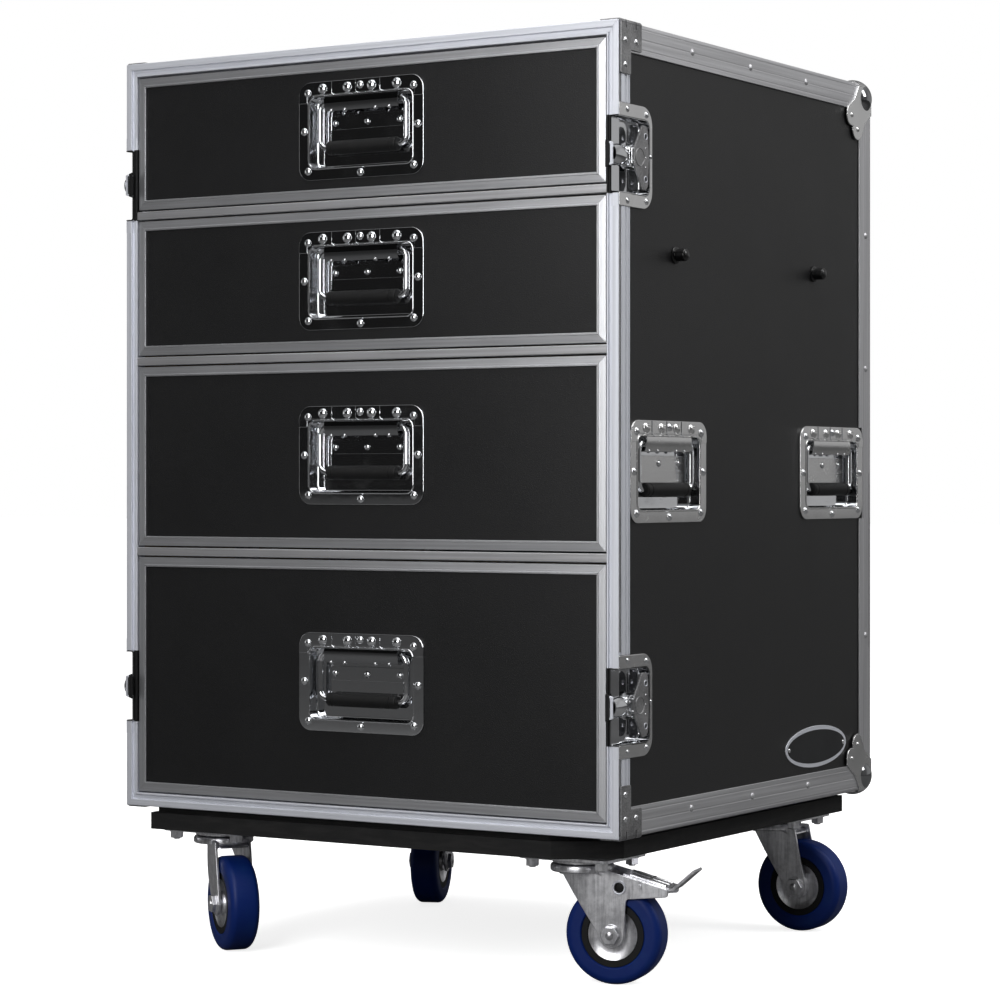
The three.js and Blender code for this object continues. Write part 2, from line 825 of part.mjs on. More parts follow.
function slideChannel(side, from, to, webAt, height, centre, [front, back]) {
  const x = (distance) => side * (battenFace - distance);
  const z = [centre - height / 2, centre + height / 2];
  const outer = block(span(x(from), x(to)), [front, back], z);
  const openSide = webAt === from
    ? [from + slideWall, to + cutOverrun]
    : [from - cutOverrun, to - slideWall];
  const hollow = block(
    span(x(openSide[0]), x(openSide[1])), [front - cutOverrun, back + cutOverrun],
    [z[0] + slideWall, z[1] - slideWall]);
  return cut(outer, hollow);
}

function outerSlide(side, drawer) {
  const reach = slideWidth + pieceGap - slideWall - slideEndGap;
  return slideChannel(side, 0, reach, 0, slideHeight, slideCentre(drawer), [slideFront, boxBack]);
}

function innerSlide(side, drawer) {
  const height = slideHeight - (slideWall + slideRunGap) * 2;
  const seat = slideWidth + pieceGap + joinDepth;
  return slideChannel(
    side, slideWall + slideEndGap, seat, seat, height, slideCentre(drawer),
    [drawerPanelBack + pieceGap, boxBack - pieceGap]);
}

function slideRack(sideName, side) {
  const tubHalf = tubWidth / 2 + tubWall;
  const frontBatten = frontHandlePlace + tubHalf + battenMargin;
  const backBatten = backHandlePlace - tubHalf - battenMargin - battenWidth;
  const battens = [frontBatten, backBatten].map((front) => block(
    span(side * (battenFace - joinDepth), side * (lining - pieceGap)),
    [front, front + battenWidth], [sideSpanLow, sideSpanHigh]));
  const slides = drawers.map((drawer) => outerSlide(side, drawer));
  return piece(`${sideName}_slide_rack`, join(...battens, ...slides), zinc);
}

// Recessed handles
function handleDish() {
  const flange = prism(
    roundedRectangle(dishWidth, dishHeight, dishCorner, [0, 0]), [0, dishFlangeWall], "z");
  const tub = prism(
    roundedRectangle(
      tubWidth + tubWall * 2, tubHeight + tubWall * 2, tubCorner + tubWall, [0, -tubDrop]),
    [-tubBackDepth, joinDepth], "z", plainSteps);
  const hollow = prism(
    roundedRectangle(tubWidth, tubHeight, tubCorner, [0, -tubDrop]),
    [tubWall - tubBackDepth, dishFlangeWall + cutOverrun], "z", plainSteps);
  const tubTop = tubHeight / 2 - tubDrop + joinDepth;
  const barrels = Object.values(sides).map((side) => {
    const along = span(side * barrelReach, side * (barrelReach - barrelLength));
    const barrel = rod(barrelDiameter, "x", along, [bailAxisRise, -bailAxisSink]);
    const web = block(
      along, [bailAxisRise, tubTop],
      [-bailAxisSink - barrelWebHeight / 2, -bailAxisSink + barrelWebHeight / 2]);
    const bore = rod(
      wireDiameter + bailClearance * 2, "x", [along[0] - cutOverrun, along[1] + cutOverrun],
      [bailAxisRise, -bailAxisSink]);
    return cut(join(barrel, web), bore);
  });
  return join(cut(join(flange, tub), hollow), ...barrels);
}

// The bail's own origin lies on its hinge axis.
function handleBail() {
  const low = -bailAxisRise - gripDrop;
  const pin = bailArm - bailPinLength;
  const wire = bentWire(
    [[pin, 0], [bailArm, 0], [bailArm, low], [-bailArm, low], [-bailArm, 0], [-pin, 0]],
    bailBend, wireDiameter, wireSides);
  const radius = gripDiameter / 2;
  const end = bailArm - bailBend - gripEndGap;
  const grip = turned([
    [0, -end], [radius - gripRounding, -end], [radius, gripRounding - end],
    [radius, end - gripRounding], [radius - gripRounding, end], [0, end],
  ], "x", [low, 0], gripSides);
  return join(wire, grip);
}

// A handle as a group: its dish, and its bail on the hinge axis.
function handle(prefix) {
  const group = new THREE.Group();
  const bail = piece(`${prefix}_bail`, handleBail(), chrome);
  bail.position.set(0, bailAxisRise, -bailAxisSink);
  group.add(piece(`${prefix}_dish`, handleDish(), chrome), bail);
  return group;
}

function sideHandle(sideName, side, placeName, place) {
  const group = handle(`${sideName}_${placeName}_handle`);
  group.position.set(side * (halfWidth - dishFlangeWall), place, sideHandleHeight);
  group.rotation.set(Math.PI / 2, 0, side * (Math.PI / 2), "ZYX");
  return group;
}

// Drawers
function trimSection() {
  const back = drawerPanelBack - trimSetBack;
  const beadFront = trimWidth - beadWidth;
  const slope = beadHeight / 2;
  return [
    [0, 0], [beadFront - slope, 0], [beadFront, -beadHeight], [trimWidth - slope, -beadHeight],
    [trimWidth, 0], [trimWidth, trimWall], [trimWall, trimWall], [trimWall, back], [0, back],
  ].map(([inwards, depth]) => [inwards, trimSetBack + depth]);
}

function drawerTrim(prefix, { top, height }) {
  return piece(`${prefix}_trim`, mitredFrame(trimSection(), trimHalfWidth, top - height, top), aluminium);
}

function drawerBox(prefix, drawer) {
  const { top, height } = drawer;
  const middle = top - height / 2;
  const panelReach = trimHalfWidth - drawerPanelInset;
  const low = top - height + boxFloorRise;
  const high = top - boxTopDrop;
  const front = drawerPanelBack - joinDepth;
  const panel = block(
    [-panelReach, panelReach], [drawerPanelFront, drawerPanelBack],
    [top - height + drawerPanelInset, top - drawerPanelInset]);
  const room = tubWall + pieceGap;
  const hole = prism(
    roundedRectangle(
      tubWidth + room * 2, tubHeight + room * 2, tubCorner + room, [0, middle - tubDrop]),
    [drawerPanelFront - cutOverrun, drawerPanelBack + cutOverrun], "y", plainSteps);
  const walls = Object.values(sides).map((side) => block(
    span(side * boxHalfWidth, side * (boxHalfWidth - boxWall)), [front, boxBack], [low, high]));
  const back = block([-boxHalfWidth, boxHalfWidth], [boxBack - boxWall, boxBack], [low, high]);
  const floor = block([-boxHalfWidth, boxHalfWidth], [front, boxBack], [low, low + boxFloorWall]);
  const slides = Object.values(sides).map((side) => innerSlide(side, drawer));
  return piece(
    `${prefix}_box`, join(cut(panel, hole), ...walls, back, floor, ...slides), laminate);
}

function drawerGroup(drawer, i) {
  const prefix = `drawer_${i + 1}`;
  const group = new THREE.Group();
  const pull = handle(`${prefix}_handle`);
  pull.position.set(0, trimSetBack + dishFlangeWall, drawer.top - drawer.height / 2);
  pull.rotation.x = Math.PI / 2;
  group.add(drawerBox(prefix, drawer), drawerTrim(prefix, drawer), pull);
  return group;
}

// Latches. Depths into the case are negative x in the latch's frame.
function latchRecess(wall) {
  const half = latchTubHeight / 2 + wall;
  const back = latchTubBack + wall;
  const corner = latchTubCorner + wall;
  const outline = new THREE.Shape();
  outline.moveTo(0, -half);
  addArc(outline, [back - corner, corner - half], corner, -Math.PI / 2, 0);
  addArc(outline, [back - corner, half - corner], corner, 0, Math.PI / 2);
  outline.lineTo(0, half);
  return outline;
}

// The space that the shallow front of the tub leaves free, below a floor at the given depth.
function underStep(stepDepth, deepDepth) {
  const deep = deepDepth + cutOverrun;
  const tall = latchTubHeight / 2 + latchSheet + cutOverrun;
  const outline = polygon([
    [-stepDepth, -cutOverrun], [-stepDepth, latchRampFront], [-deepDepth, latchRampBack],
    [-deep, latchRampBack], [-deep, -cutOverrun],
  ]);
  return prism(outline, [-tall, tall], "z");
}

function latchDish() {
  const half = latchFlangeHeight / 2;
  const corner = latchFlangeCorner;
  const rounded = new THREE.Shape();
  rounded.moveTo(latchFlangeFront, -half);
  addArc(rounded, [latchFlangeBack - corner, corner - half], corner, -Math.PI / 2, 0);
  addArc(rounded, [latchFlangeBack - corner, half - corner], corner, 0, Math.PI / 2);
  rounded.lineTo(latchFlangeFront, half);
  const flange = prism(rounded, [-latchFlangeWall, 0], "x");
  const outerDepth = latchTubDepth + latchSheet;
  const shell = cut(
    prism(latchRecess(latchSheet), [-outerDepth, 0], "x"),
    underStep(latchStepDepth + latchSheet, outerDepth));
  const front = block(
    [-latchStepDepth, cutOverrun], [-cutOverrun, cutOverrun],
    [-latchTubHeight / 2, latchTubHeight / 2]);
  const hollow = cut(
    prism(latchRecess(0), [-latchTubDepth, cutOverrun], "x"),
    underStep(latchStepDepth, latchTubDepth));
  return cut(join(flange, shell), hollow, front);
}

function latchDrum() {
  const centre = [drumPlace, 0];
  const spindle = rod(
    spindleDiameter, "x", [pieceGap - latchTubDepth, -drumLow + joinDepth], centre, pivotSides);
  const head = rod(drumDiameter, "x", [-drumLow, -drumSink], centre, largeSides);
  const inner = knuckleLength / 2 + earGap;
  const outer = inner + earThickness;
  const groove = rod(
    knuckleDiameter + earGap * 2, "z", [-inner, inner], [-pinSink, pinPlace]);
  const ears = Object.values(sides).map((side) => {
    const along = span(side * inner, side * outer);
    const eye = rod(earDiameter, "z", along, [-pinSink, pinPlace]);
    const stem = block(
      [-drumSink - joinDepth, -pinSink],
      [pinPlace - earDiameter / 2, pinPlace + earDiameter / 2], along);
    return join(eye, stem);
  });
  const pin = rod(pinDiameter, "z", [-outer + joinDepth, outer - joinDepth], [-pinSink, pinPlace]);
  return join(cut(join(spindle, head), groove), ...ears, pin);
}

// The folding wing. Its own origin lies on the pin.
function latchWing() {
  const knuckle = rod(knuckleDiameter, "z", [-knuckleLength / 2, knuckleLength / 2], [0, 0]);
  const bore = rod(knuckleBore, "z", [-knuckleLength, knuckleLength], [0, 0]);
  const thick = [-wingThickness / 2, wingThickness / 2];
  const front = wingFront - pinPlace;
  const back = wingBack - pinPlace;
  const neck = block(
    thick, [0, front + joinDepth], [-knuckleLength / 2, knuckleLength / 2]);
  const tip = back - wingCorner;
  const half = wingBackWidth / 2;
  const fan = new THREE.Shape();
  fan.moveTo(front, -wingFrontWidth / 2);
  fan.lineTo(tip - wingCorner / 2, -half);
  addArc(fan, [tip, wingCorner - half], wingCorner, -Math.PI / 2, 0);
  addArc(fan, [tip, half - wingCorner], wingCorner, 0, Math.PI / 2);
  fan.lineTo(tip - wingCorner / 2, half);
  fan.lineTo(front, wingFrontWidth / 2);
  const holes = Object.values(sides).map((side) => rod(
    wingHoleDiameter, "x", [-wingThickness, wingThickness],
    [back - wingHoleInset, (side * wingHoleSpan) / 2]));
  return cut(join(knuckle, neck, prism(fan, thick, "x")), bore, ...holes);
}

function hookPlateOutline() {
  const neck = hookNeckWidth / 2;
  const tail = hookTailWidth / 2;
  const corner = hookTailCorner;
  const outline = new THREE.Shape();
  outline.moveTo(hookFront, -neck);
  outline.lineTo(hookNeckBack, -neck);
  outline.lineTo(hookTailFront, -tail);
  addArc(outline, [hookBack - corner, corner - tail], corner, -Math.PI / 2, 0);
  addArc(outline, [hookBack - corner, tail - corner], corner, 0, Math.PI / 2);
  outline.lineTo(hookTailFront, tail);
  outline.lineTo(hookNeckBack, neck);
  outline.lineTo(hookFront, neck);
  return outline;
}

// The round channel on the hook's plate, as a half ellipse in (outwards, up) with a wall.
function hookArch() {
  const base = -hookPlateTop;
  const half = (width, height) => {
    const outline = new THREE.Shape();
    outline.absellipse(base, 0, height, width / 2, -Math.PI / 2, Math.PI / 2, false, 0);
    return outline;
  };
  const across = (outline, [from, to]) => {
    const steps = { depth: to - from, bevelEnabled: false, curveSegments: cornerSteps * 2 };
    const body = new THREE.ExtrudeGeometry(outline, steps).translate(0, 0, from);
    return solid(body.applyMatrix4(turnUpright.y));
  };
  const skin = across(half(archWidth, archHeight), [archFront, archBack]);
  const hollow = across(
    half(archWidth - archWall * 2, archHeight - archWall),
    [archFront - cutOverrun, archBack + cutOverrun]);
  const foot = block(
    [base - joinDepth, base + joinDepth], [archFront, archBack], [-archWidth / 2, archWidth / 2]);
  return cut(join(skin, foot), hollow);
}

function latchHook() {
  const plateLow = hookPlateTop + hookPlateThickness;
  const plate = prism(hookPlateOutline(), [-plateLow, -hookPlateTop], "x");
  const room = spindleDiameter / 2 + hookSlotGap;
  const slot = new THREE.Shape();
  slot.absarc(drumPlace, 0, room, Math.PI / 2, Math.PI + Math.PI / 2, false);
  slot.absarc(drumPlace + hookTravel, 0, room, -Math.PI / 2, Math.PI / 2, false);
  const lip = prism(polygon([
    [-lipOuterSink, -lipOuterHeight / 2], [-lipOuterSink, lipOuterHeight / 2],
    [-lipInnerSink, lipInnerHeight / 2], [-lipInnerSink, -lipInnerHeight / 2],
  ]), [hookFront, hookFront + lipThickness], "y");
  const cutter = prism(slot, [-plateLow - cutOverrun, cutOverrun - hookPlateTop], "x");
  return join(cut(join(plate, hookArch()), cutter), lip);
}

function latch(side, middle, place) {
  const prefix = `${place}_latch`;
  const group = new THREE.Group();
  const wing = piece(`${prefix}_wing`, latchWing(), chrome);
  wing.position.set(-pinSink, pinPlace, 0);
  group.add(
    piece(`${prefix}_dish`, latchDish(), chrome),
    piece(`${prefix}_drum`, latchDrum(), chrome),
    piece(`${prefix}_hook`, latchHook(), chrome),
    wing,
  );
  group.position.set(side * halfWidth, 0, middle);
  group.rotation.y = side > 0 ? 0 : Math.PI;
  return group;
}

// Caster board, with the fixed parts of the casters
function boardOutline(inset) {
  const right = boardReach - inset;
  const front = boardFront + inset;
  const back = boardBack - inset;
  return [
    [-right, front], [right - boardClipWidth, front], [right, front + boardClipDepth],
    [right, back], [-right, back],
  ];
}

const swivelPlace = ({ atBack }) => (atBack ? boardBack - swivelBackInset : boardFront + swivelFrontInset);

function casterFixings(stand) {
  const x = stand.side * swivelReach;
  const place = swivelPlace(stand);
  const plate = block(
    [x - plateLength / 2, x + plateLength / 2], [place - plateWidth / 2, place + plateWidth / 2],
    [plateLow, boardLow + joinDepth]);
  const race = rod(raceDiameter, "z", [raceLow, plateLow + joinDepth], [x, place], largeSides);
  const kingpinLow = boardLow - kingpinReach;
  const kingpin = rod(
    kingpinDiameter, "z", [kingpinLow, raceLow + joinDepth], [x, place], pivotSides);
  const kingpinNut = rod(
    kingpinNutWidth, "z", [kingpinLow, kingpinLow + kingpinNutHeight], [x, place], nutSides);
  const bolts = Object.values(sides).flatMap((a) => Object.values(sides).map((b) => {
    const at = [x + (a * boltSpanLong) / 2, place + (b * boltSpanShort) / 2];
    return rod(nutWidth, "z", [boardLow - boltReach, plateLow + joinDepth], at, nutSides);
  }));
  return join(plate, race, kingpin, kingpinNut, ...bolts);
}

function casterBoard() {
  const board = prism(polygon(boardOutline(0)), [boardLow, -packingWall], "z");
  const leafReach = leafRivetAlong + leafLobe + pieceGap;
  const packing = prism(
    polygon(boardOutline(packingInset)), [-packingWall - joinDepth, boardTop], "z");
  const cornerRooms = Object.values(sides).map((side) => block(
    span(side * (halfWidth - leafReach), side * halfWidth), [caseDepth - leafReach, caseDepth],
    [-packingWall, cutOverrun]));
  const fixings = Object.values(casterStands).map(casterFixings);
  return piece(
    "caster_board", join(board, cut(packing, ...cornerRooms), ...fixings), boardPaint);
}

// Casters. The frame's x runs along the trail and its z = 0 is the case's bottom.
function forkLeg(brake) {
  const outline = new THREE.Shape();
  outline.moveTo(-forkTail, -forkTopSink);
  addArc(outline, [trail, axleHeight], forkHubRadius, Math.PI, Math.PI * 2);
  if (brake) {
    outline.lineTo(brakeThroat, -brakeThroatSink);
    outline.lineTo(brakeNose, -brakeNoseBottom);
    outline.lineTo(brakeNose, -brakeNoseTop);
    outline.lineTo(brakeShoulder, -forkTopSink);
  } else {
    outline.lineTo(forkNose, -forkTopSink);
  }
  return outline;
}

function fork(brake) {
  const reach = forkWidth / 2;
  const legs = Object.values(sides).map((side) => prism(
    forkLeg(brake), span(side * reach, side * (reach - forkWall)), "y"));
  const crown = rod(crownDiameter, "z", [crownLow, crownTop], [0, 0], largeSides);
  const hole = rod(
    kingpinDiameter + swivelGap * 2, "z", [crownLow - cutOverrun, crownTop + cutOverrun], [0, 0],
    pivotSides);
  const axle = rod(axleDiameter, "y", [-reach, reach], [trail, axleHeight]);
  const heads = Object.values(sides).map((side) => rod(
    axleHeadWidth, "y", span(side * (reach - joinDepth), side * (reach + axleHeadHeight)),
    [trail, axleHeight], nutSides));
  const body = cut(join(crown, ...legs), hole);
  if (!brake) return join(body, axle, ...heads);
  const through = [-reach - cutOverrun, reach + cutOverrun];
  const holes = [
    rod(brakeHoleDiameter, "y", through, [brakeHolePlace, -brakeHoleSink]),
    rod(pedalPinHole, "y", through, [pedalPivotPlace, -pedalPivotSink]),
  ];
  return join(cut(body, ...holes), axle, ...heads);
}

// A wheel about its own axle, which lies along y. A flat of its tread faces down.
function wheel() {
  const flat = 1 / Math.cos(Math.PI / wheelSides);
  const half = wheelWidth / 2;
  const tread = treadFlat / 2;
  const core = coreDiameter / 2;
  const hub = hubDiameter / 2;
  const bore = wheelBore / 2;
  const right = [
    [bore, hubWidth / 2], [hub, hubWidth / 2], [core, half - coreSink], [core, half],
    [wheelRadius - treadCorner, half], [wheelRadius, tread],
  ].map(([radius, y]) => [radius * flat, y]);
  const left = [...right].reverse().map(([radius, y]) => [radius, -y]);
  const points = [...right, ...left, right[0]].map(([radius, y]) => new THREE.Vector2(radius, y));
  return solid(new THREE.LatheGeometry(points, wheelSides).rotateY(Math.PI / wheelSides));
}

// The brake pedal. Its own origin lies on its pin.
function brakePedal() {
  const at = (place, sink) => [place - pedalPivotPlace, pedalPivotSink - sink];
  const half = pedalWidth / 2;
  const tongue = pedalTongueWidth / 2;
  const wall = pedalPlateWall;
  const hub = rod(pedalHubRadius * 2, "y", [-half, half], [0, 0]);
  const plate = prism(polygon([
    at(pedalRear, pedalRearSink), at(pedalBend, pedalBendSink),
    at(pedalBend, pedalBendSink + wall), at(pedalRear, pedalRearSink + wall),
  ]), [-half, half], "y");
  const tip = prism(polygon([
    at(pedalBend - wall, pedalBendSink - joinDepth), at(pedalTip - wall, pedalTipSink),
    at(pedalTip, pedalTipSink + wall), at(pedalBend, pedalBendSink + wall),
  ]), [-tongue, tongue], "y");
  const shoe = prism(polygon([
    at(pedalPivotPlace, pedalPivotSink), at(shoeBack, pedalPivotSink),
    at(shoeLow, shoeLowSink), at(shoeFront, shoeFrontSink),
  ]), [-tongue, tongue], "y");
  const pinReach = forkWidth / 2 + pedalPinProud;
  const pin = rod(pedalPinDiameter, "y", [-pinReach, pinReach], [0, 0]);
  return join(hub, plate, tip, shoe, pin);
}

function caster(prefix, stand) {
  const { side, turn, brake } = stand;
  const group = new THREE.Group();
  const roller = piece(`${prefix}_wheel`, wheel(), blueTread);
  roller.position.set(trail, 0, axleHeight);
  group.add(piece(`${prefix}_fork`, fork(brake), zinc), roller);
  if (brake) {
    const pedal = piece(`${prefix}_pedal`, brakePedal(), pedalZinc);
    pedal.position.set(pedalPivotPlace, 0, -pedalPivotSink);
    group.add(pedal);
  }
  group.position.set(side * swivelReach, swivelPlace(stand), 0);
  group.rotation.z = THREE.MathUtils.degToRad(turn);
  return group;
}

// The whole case
const roadCase = new THREE.Group();
roadCase.add(edgeFrame(), frontRim(), backPanel());
roadCase.add(levelPanel("top_panel", caseHeight - liningDepth), levelPanel("bottom_panel", skinDepth));
for (const [sideName, side] of Object.entries(sides)) {
  roadCase.add(sidePanel(sideName, side), slideRack(sideName, side));
  roadCase.add(sideHandle(sideName, side, "front", frontHandlePlace));
  roadCase.add(sideHandle(sideName, side, "back", backHandlePlace));
}
roadCase.add(...drawers.map(drawerGroup));
roadCase.add(...forLatches(latch));
roadCase.add(casterBoard());
roadCase.add(...Object.entries(casterStands).map(([prefix, stand]) => caster(prefix, stand)));

// The origin goes to the floor, under the middle of the object's box: the front right
// pedal and a left stud reach furthest sideways, a hook and the balls front and back.
const pedalReach = swivelReach
  + pedalTip * Math.cos(THREE.MathUtils.degToRad(casterStands.front_right.turn));
const studTip = halfWidth + studReach;
const ballTip = caseDepth - ballInset + ballRadius;
roadCase.position.set((studTip - pedalReach) / 2, -(ballTip + hookFront) / 2, -floorHeight);

const part = new THREE.Group();
part.add(roadCase);
export default part;
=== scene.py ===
# %% [markdown]
# # A road case with drawers
#
# This lesson dresses a road case for stage gear: black plywood, aluminium edging, four drawers,
# sprung handles, butterfly latches and blue casters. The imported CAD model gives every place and
# every joint. Each cell then makes the fine pieces that the camera sees, and hangs them on the
# body that they move with.

import json
import math

import bmesh
import bpy
import numpy as np
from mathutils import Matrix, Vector
from mathutils.geometry import tessellate_polygon

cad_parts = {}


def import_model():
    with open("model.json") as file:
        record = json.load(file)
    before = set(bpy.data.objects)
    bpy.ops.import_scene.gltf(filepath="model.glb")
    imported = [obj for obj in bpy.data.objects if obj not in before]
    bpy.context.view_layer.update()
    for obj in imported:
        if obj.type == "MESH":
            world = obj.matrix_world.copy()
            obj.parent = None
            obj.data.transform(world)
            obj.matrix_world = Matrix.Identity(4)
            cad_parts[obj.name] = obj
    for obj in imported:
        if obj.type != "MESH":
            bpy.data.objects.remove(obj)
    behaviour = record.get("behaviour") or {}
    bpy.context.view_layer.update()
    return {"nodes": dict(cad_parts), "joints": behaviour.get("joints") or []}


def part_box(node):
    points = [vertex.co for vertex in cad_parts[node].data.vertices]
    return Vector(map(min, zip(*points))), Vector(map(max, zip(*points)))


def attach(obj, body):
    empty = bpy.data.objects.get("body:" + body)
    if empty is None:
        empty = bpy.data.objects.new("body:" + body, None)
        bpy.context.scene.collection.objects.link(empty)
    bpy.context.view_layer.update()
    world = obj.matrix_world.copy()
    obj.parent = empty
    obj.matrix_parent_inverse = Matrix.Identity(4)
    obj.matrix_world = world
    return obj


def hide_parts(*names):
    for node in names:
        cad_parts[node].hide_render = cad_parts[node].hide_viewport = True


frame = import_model()

# %% [markdown]


# %% [markdown]
# All sizes below are in millimetres, as on a workshop drawing. A `Place` is a spot on the case
# with three directions of its own, so that a handle or a latch is drawn once, flat on the page,
# and then put wherever the frame says.

# %% Places on the case
MILLIMETRES = 1000.0  # in a metre
RIGHT = np.array([1.0, 0.0, 0.0])
BACK = np.array([0.0, 1.0, 0.0])
UP = np.array([0.0, 0.0, 1.0])


class Place:
    """An origin and three directions u, v and w: a point (u, v, w) lies at origin + u U + v V + w W."""

    def __init__(self, origin, u, v, w):
        self.origin = np.array(origin, float)
        self.axes = np.array([u, v, w], float)

    def put(self, points):
        return self.origin + np.asarray(points, float) @ self.axes

    def moved(self, u=0.0, v=0.0, w=0.0):
        return Place(self.put([u, v, w]), *self.axes)


FLAT = Place([0, 0, 0], RIGHT, BACK, UP)  # a drawing as it lies on the page
UPRIGHT = Place([0, 0, 0], RIGHT, UP, -BACK)  # a drawing stood on its lower edge


def box_of(node):
    low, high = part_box(node)
    return np.array(low) * MILLIMETRES, np.array(high) * MILLIMETRES


JOINTS = {joint["name"]: joint for joint in frame["joints"]}


def joint_at(name):
    return np.array(JOINTS[name]["pos_m"]) * MILLIMETRES


def joint_axis(name):
    return np.array(JOINTS[name]["axis"], float)


ANGLE_WALL = 1.6
PANEL_GAP = 0.3
PANEL_WALL = 9.0
SKIN = ANGLE_WALL + PANEL_GAP

rim_low, rim_high = box_of("front_rim")
WIDTH = rim_high[0] - rim_low[0]
HEIGHT = rim_high[2] - rim_low[2]
DEPTH = box_of("back_panel")[1][1] + SKIN - rim_low[1]
HALF = WIDTH / 2
case = Place([(rim_low[0] + rim_high[0]) / 2, rim_low[1], rim_low[2]], RIGHT, BACK, UP)
SIDES = {"right": 1, "left": -1}
LEVELS = {"top": 1, "bottom": -1}


def edge_height(level):
    """The case's top for level 1 and its bottom for level -1."""
    return HEIGHT if level > 0 else 0.0


print("case", round(WIDTH), "wide,", round(DEPTH), "deep and", round(HEIGHT), "high")

# %% [markdown]
# A surface is a table of points. Two neighbouring rows and two neighbouring columns give one
# face, so whole surfaces come from a few array sums and no corner is handled by itself. Every
# face also notes where it lies on the unrolled metal, which the brushed finish needs.

# %% Surfaces out of tables of points
PAINTS = []


def paint_number(name):
    if name not in PAINTS:
        PAINTS.append(name)
    return PAINTS.index(name)


class Shell:
    """Points in millimetres, and faces as rows of four point numbers, where a triangle ends in -1."""

    def __init__(self, points, faces, sheet, paint):
        self.points = points
        self.faces = faces
        self.sheet = sheet
        self.paint = paint if isinstance(paint, np.ndarray) else np.full(len(faces), paint_number(paint))

    def at(self, place):
        return Shell(place.put(self.points), self.faces, self.sheet, self.paint)


def join(*shells):
    starts = np.cumsum([0] + [len(shell.points) for shell in shells[:-1]])
    faces = [np.where(shell.faces < 0, -1, shell.faces + start) for shell, start in zip(shells, starts)]
    return Shell(
        np.concatenate([shell.points for shell in shells]),
        np.concatenate(faces),
        np.concatenate([shell.sheet for shell in shells]),
        np.concatenate([shell.paint for shell in shells]),
    )


def repeat(shell, places):
    return join(*[shell.at(place) for place in places])


def running(points, axis):
    """The length walked along one direction of the table, averaged over the other one."""
    step = np.linalg.norm(np.roll(points, -1, axis) - points, axis=-1).mean(1 - axis)
    return np.concatenate([[0.0], np.cumsum(step)])


def grid(points, wrap=(False, False), paint="chrome"):
    """Faces over a (rows, columns, 3) table. A wrapped direction closes on itself."""
    rows, columns = points.shape[:2]
    r, c = np.meshgrid(
        np.arange(rows - 1 + wrap[0]), np.arange(columns - 1 + wrap[1]), indexing="ij")
    next_r = (r + 1) % rows
    next_c = (c + 1) % columns
    faces = np.stack(
        [r * columns + c, next_r * columns + c, next_r * columns + next_c, r * columns + next_c], -1)
    along = running(points, 0)
    across = running(points, 1)
    u = np.stack([along[r], along[r + 1], along[r + 1], along[r]], -1)
    v = np.stack([across[c], across[c], across[c + 1], across[c + 1]], -1)
    sheet = np.stack([u, v], -1)
    return Shell(points.reshape(-1, 3), faces.reshape(-1, 4), sheet.reshape(-1, 4, 2), paint)


def fill(loops, points, paint="chrome"):
    """A flat face inside the first outline and outside the others, as triangles."""
    flat = np.concatenate(loops)
    drawn = [np.column_stack([loop, np.zeros(len(loop))]).tolist() for loop in loops]
    triangles = np.array(tessellate_polygon(drawn))
    faces = np.column_stack([triangles, np.full(len(triangles), -1)])
    return Shell(points, faces, flat[faces], paint)


def lift(loop, height):
    return np.column_stack([loop, np.full(len(loop), height)])


print("surfaces come from tables")

# %% [markdown]
# Outlines are drawn from a few corners. `rounded` turns each corner into an arc, as a press tool
# or a saw would, and `inset` moves a whole outline inwards, which gives sheets their soft edges.

# %% Outlines
ROUND_STEPS = 5
SHARP = 0.05  # the radius of a corner that looks sharp


def unit(vectors):
    return vectors / np.linalg.norm(vectors, axis=-1, keepdims=True)


def arm(turn):
    """The points at distance 1 from the origin, one for each angle."""
    return np.stack([np.cos(turn), np.sin(turn)], 1)


def around(sides):
    return np.arange(sides) * 2 * np.pi / sides


def quarter(count):
    """Angles from zero to a right angle."""
    return np.linspace(0, np.pi / 2, count)


def arcs(before, here, after, radius, steps):
    """
    An arc in place of each corner P. With a and b the directions to its neighbours and 2 f the
    angle between them, the arc starts r / tan f from P, and its centre lies r / sin f from P
    along a + b. Between its ends the arm turns evenly.
    """
    radius = np.broadcast_to(radius, len(here))[:, None]
    back = unit(before - here)
    ahead = unit(after - here)
    half = np.arccos(np.clip((back * ahead).sum(1), -1, 1))[:, None] / 2
    centre = here + unit(back + ahead) * radius / np.sin(half)
    first = (here + back * radius / np.tan(half) - centre)[:, None]
    last = (here + ahead * radius / np.tan(half) - centre)[:, None]
    turn = (np.pi - 2 * half)[:, None]
    share = np.linspace(0, 1, steps + 1)[None, :, None]
    swung = (np.sin((1 - share) * turn) * first + np.sin(share * turn) * last) / np.sin(turn)
    return (centre[:, None] + swung).reshape(-1, 2)


def rounded(corners, radius, steps=ROUND_STEPS):
    corners = np.asarray(corners, float)
    return arcs(np.roll(corners, 1, 0), corners, np.roll(corners, -1, 0), radius, steps)


def route(corners, radius, steps=ROUND_STEPS):
    """An open line whose inner corners are arcs."""
    corners = np.asarray(corners, float)
    bends = arcs(corners[:-2], corners[1:-1], corners[2:], radius, steps)
    return np.concatenate([corners[:1], bends, corners[-1:]])


def rectangle(width, height, corner=SHARP, centre=(0.0, 0.0), steps=ROUND_STEPS):
    x = width / 2
    y = height / 2
    return rounded([(-x, -y), (x, -y), (x, y), (-x, y)], corner, steps) + np.array(centre)


def circle(radius, sides, centre=(0.0, 0.0)):
    return radius * arm(around(sides)) + np.array(centre)


def area_of(loop):
    following = np.roll(loop, -1, 0)
    return (loop[:, 0] * following[:, 1] - loop[:, 1] * following[:, 0]).sum() / 2


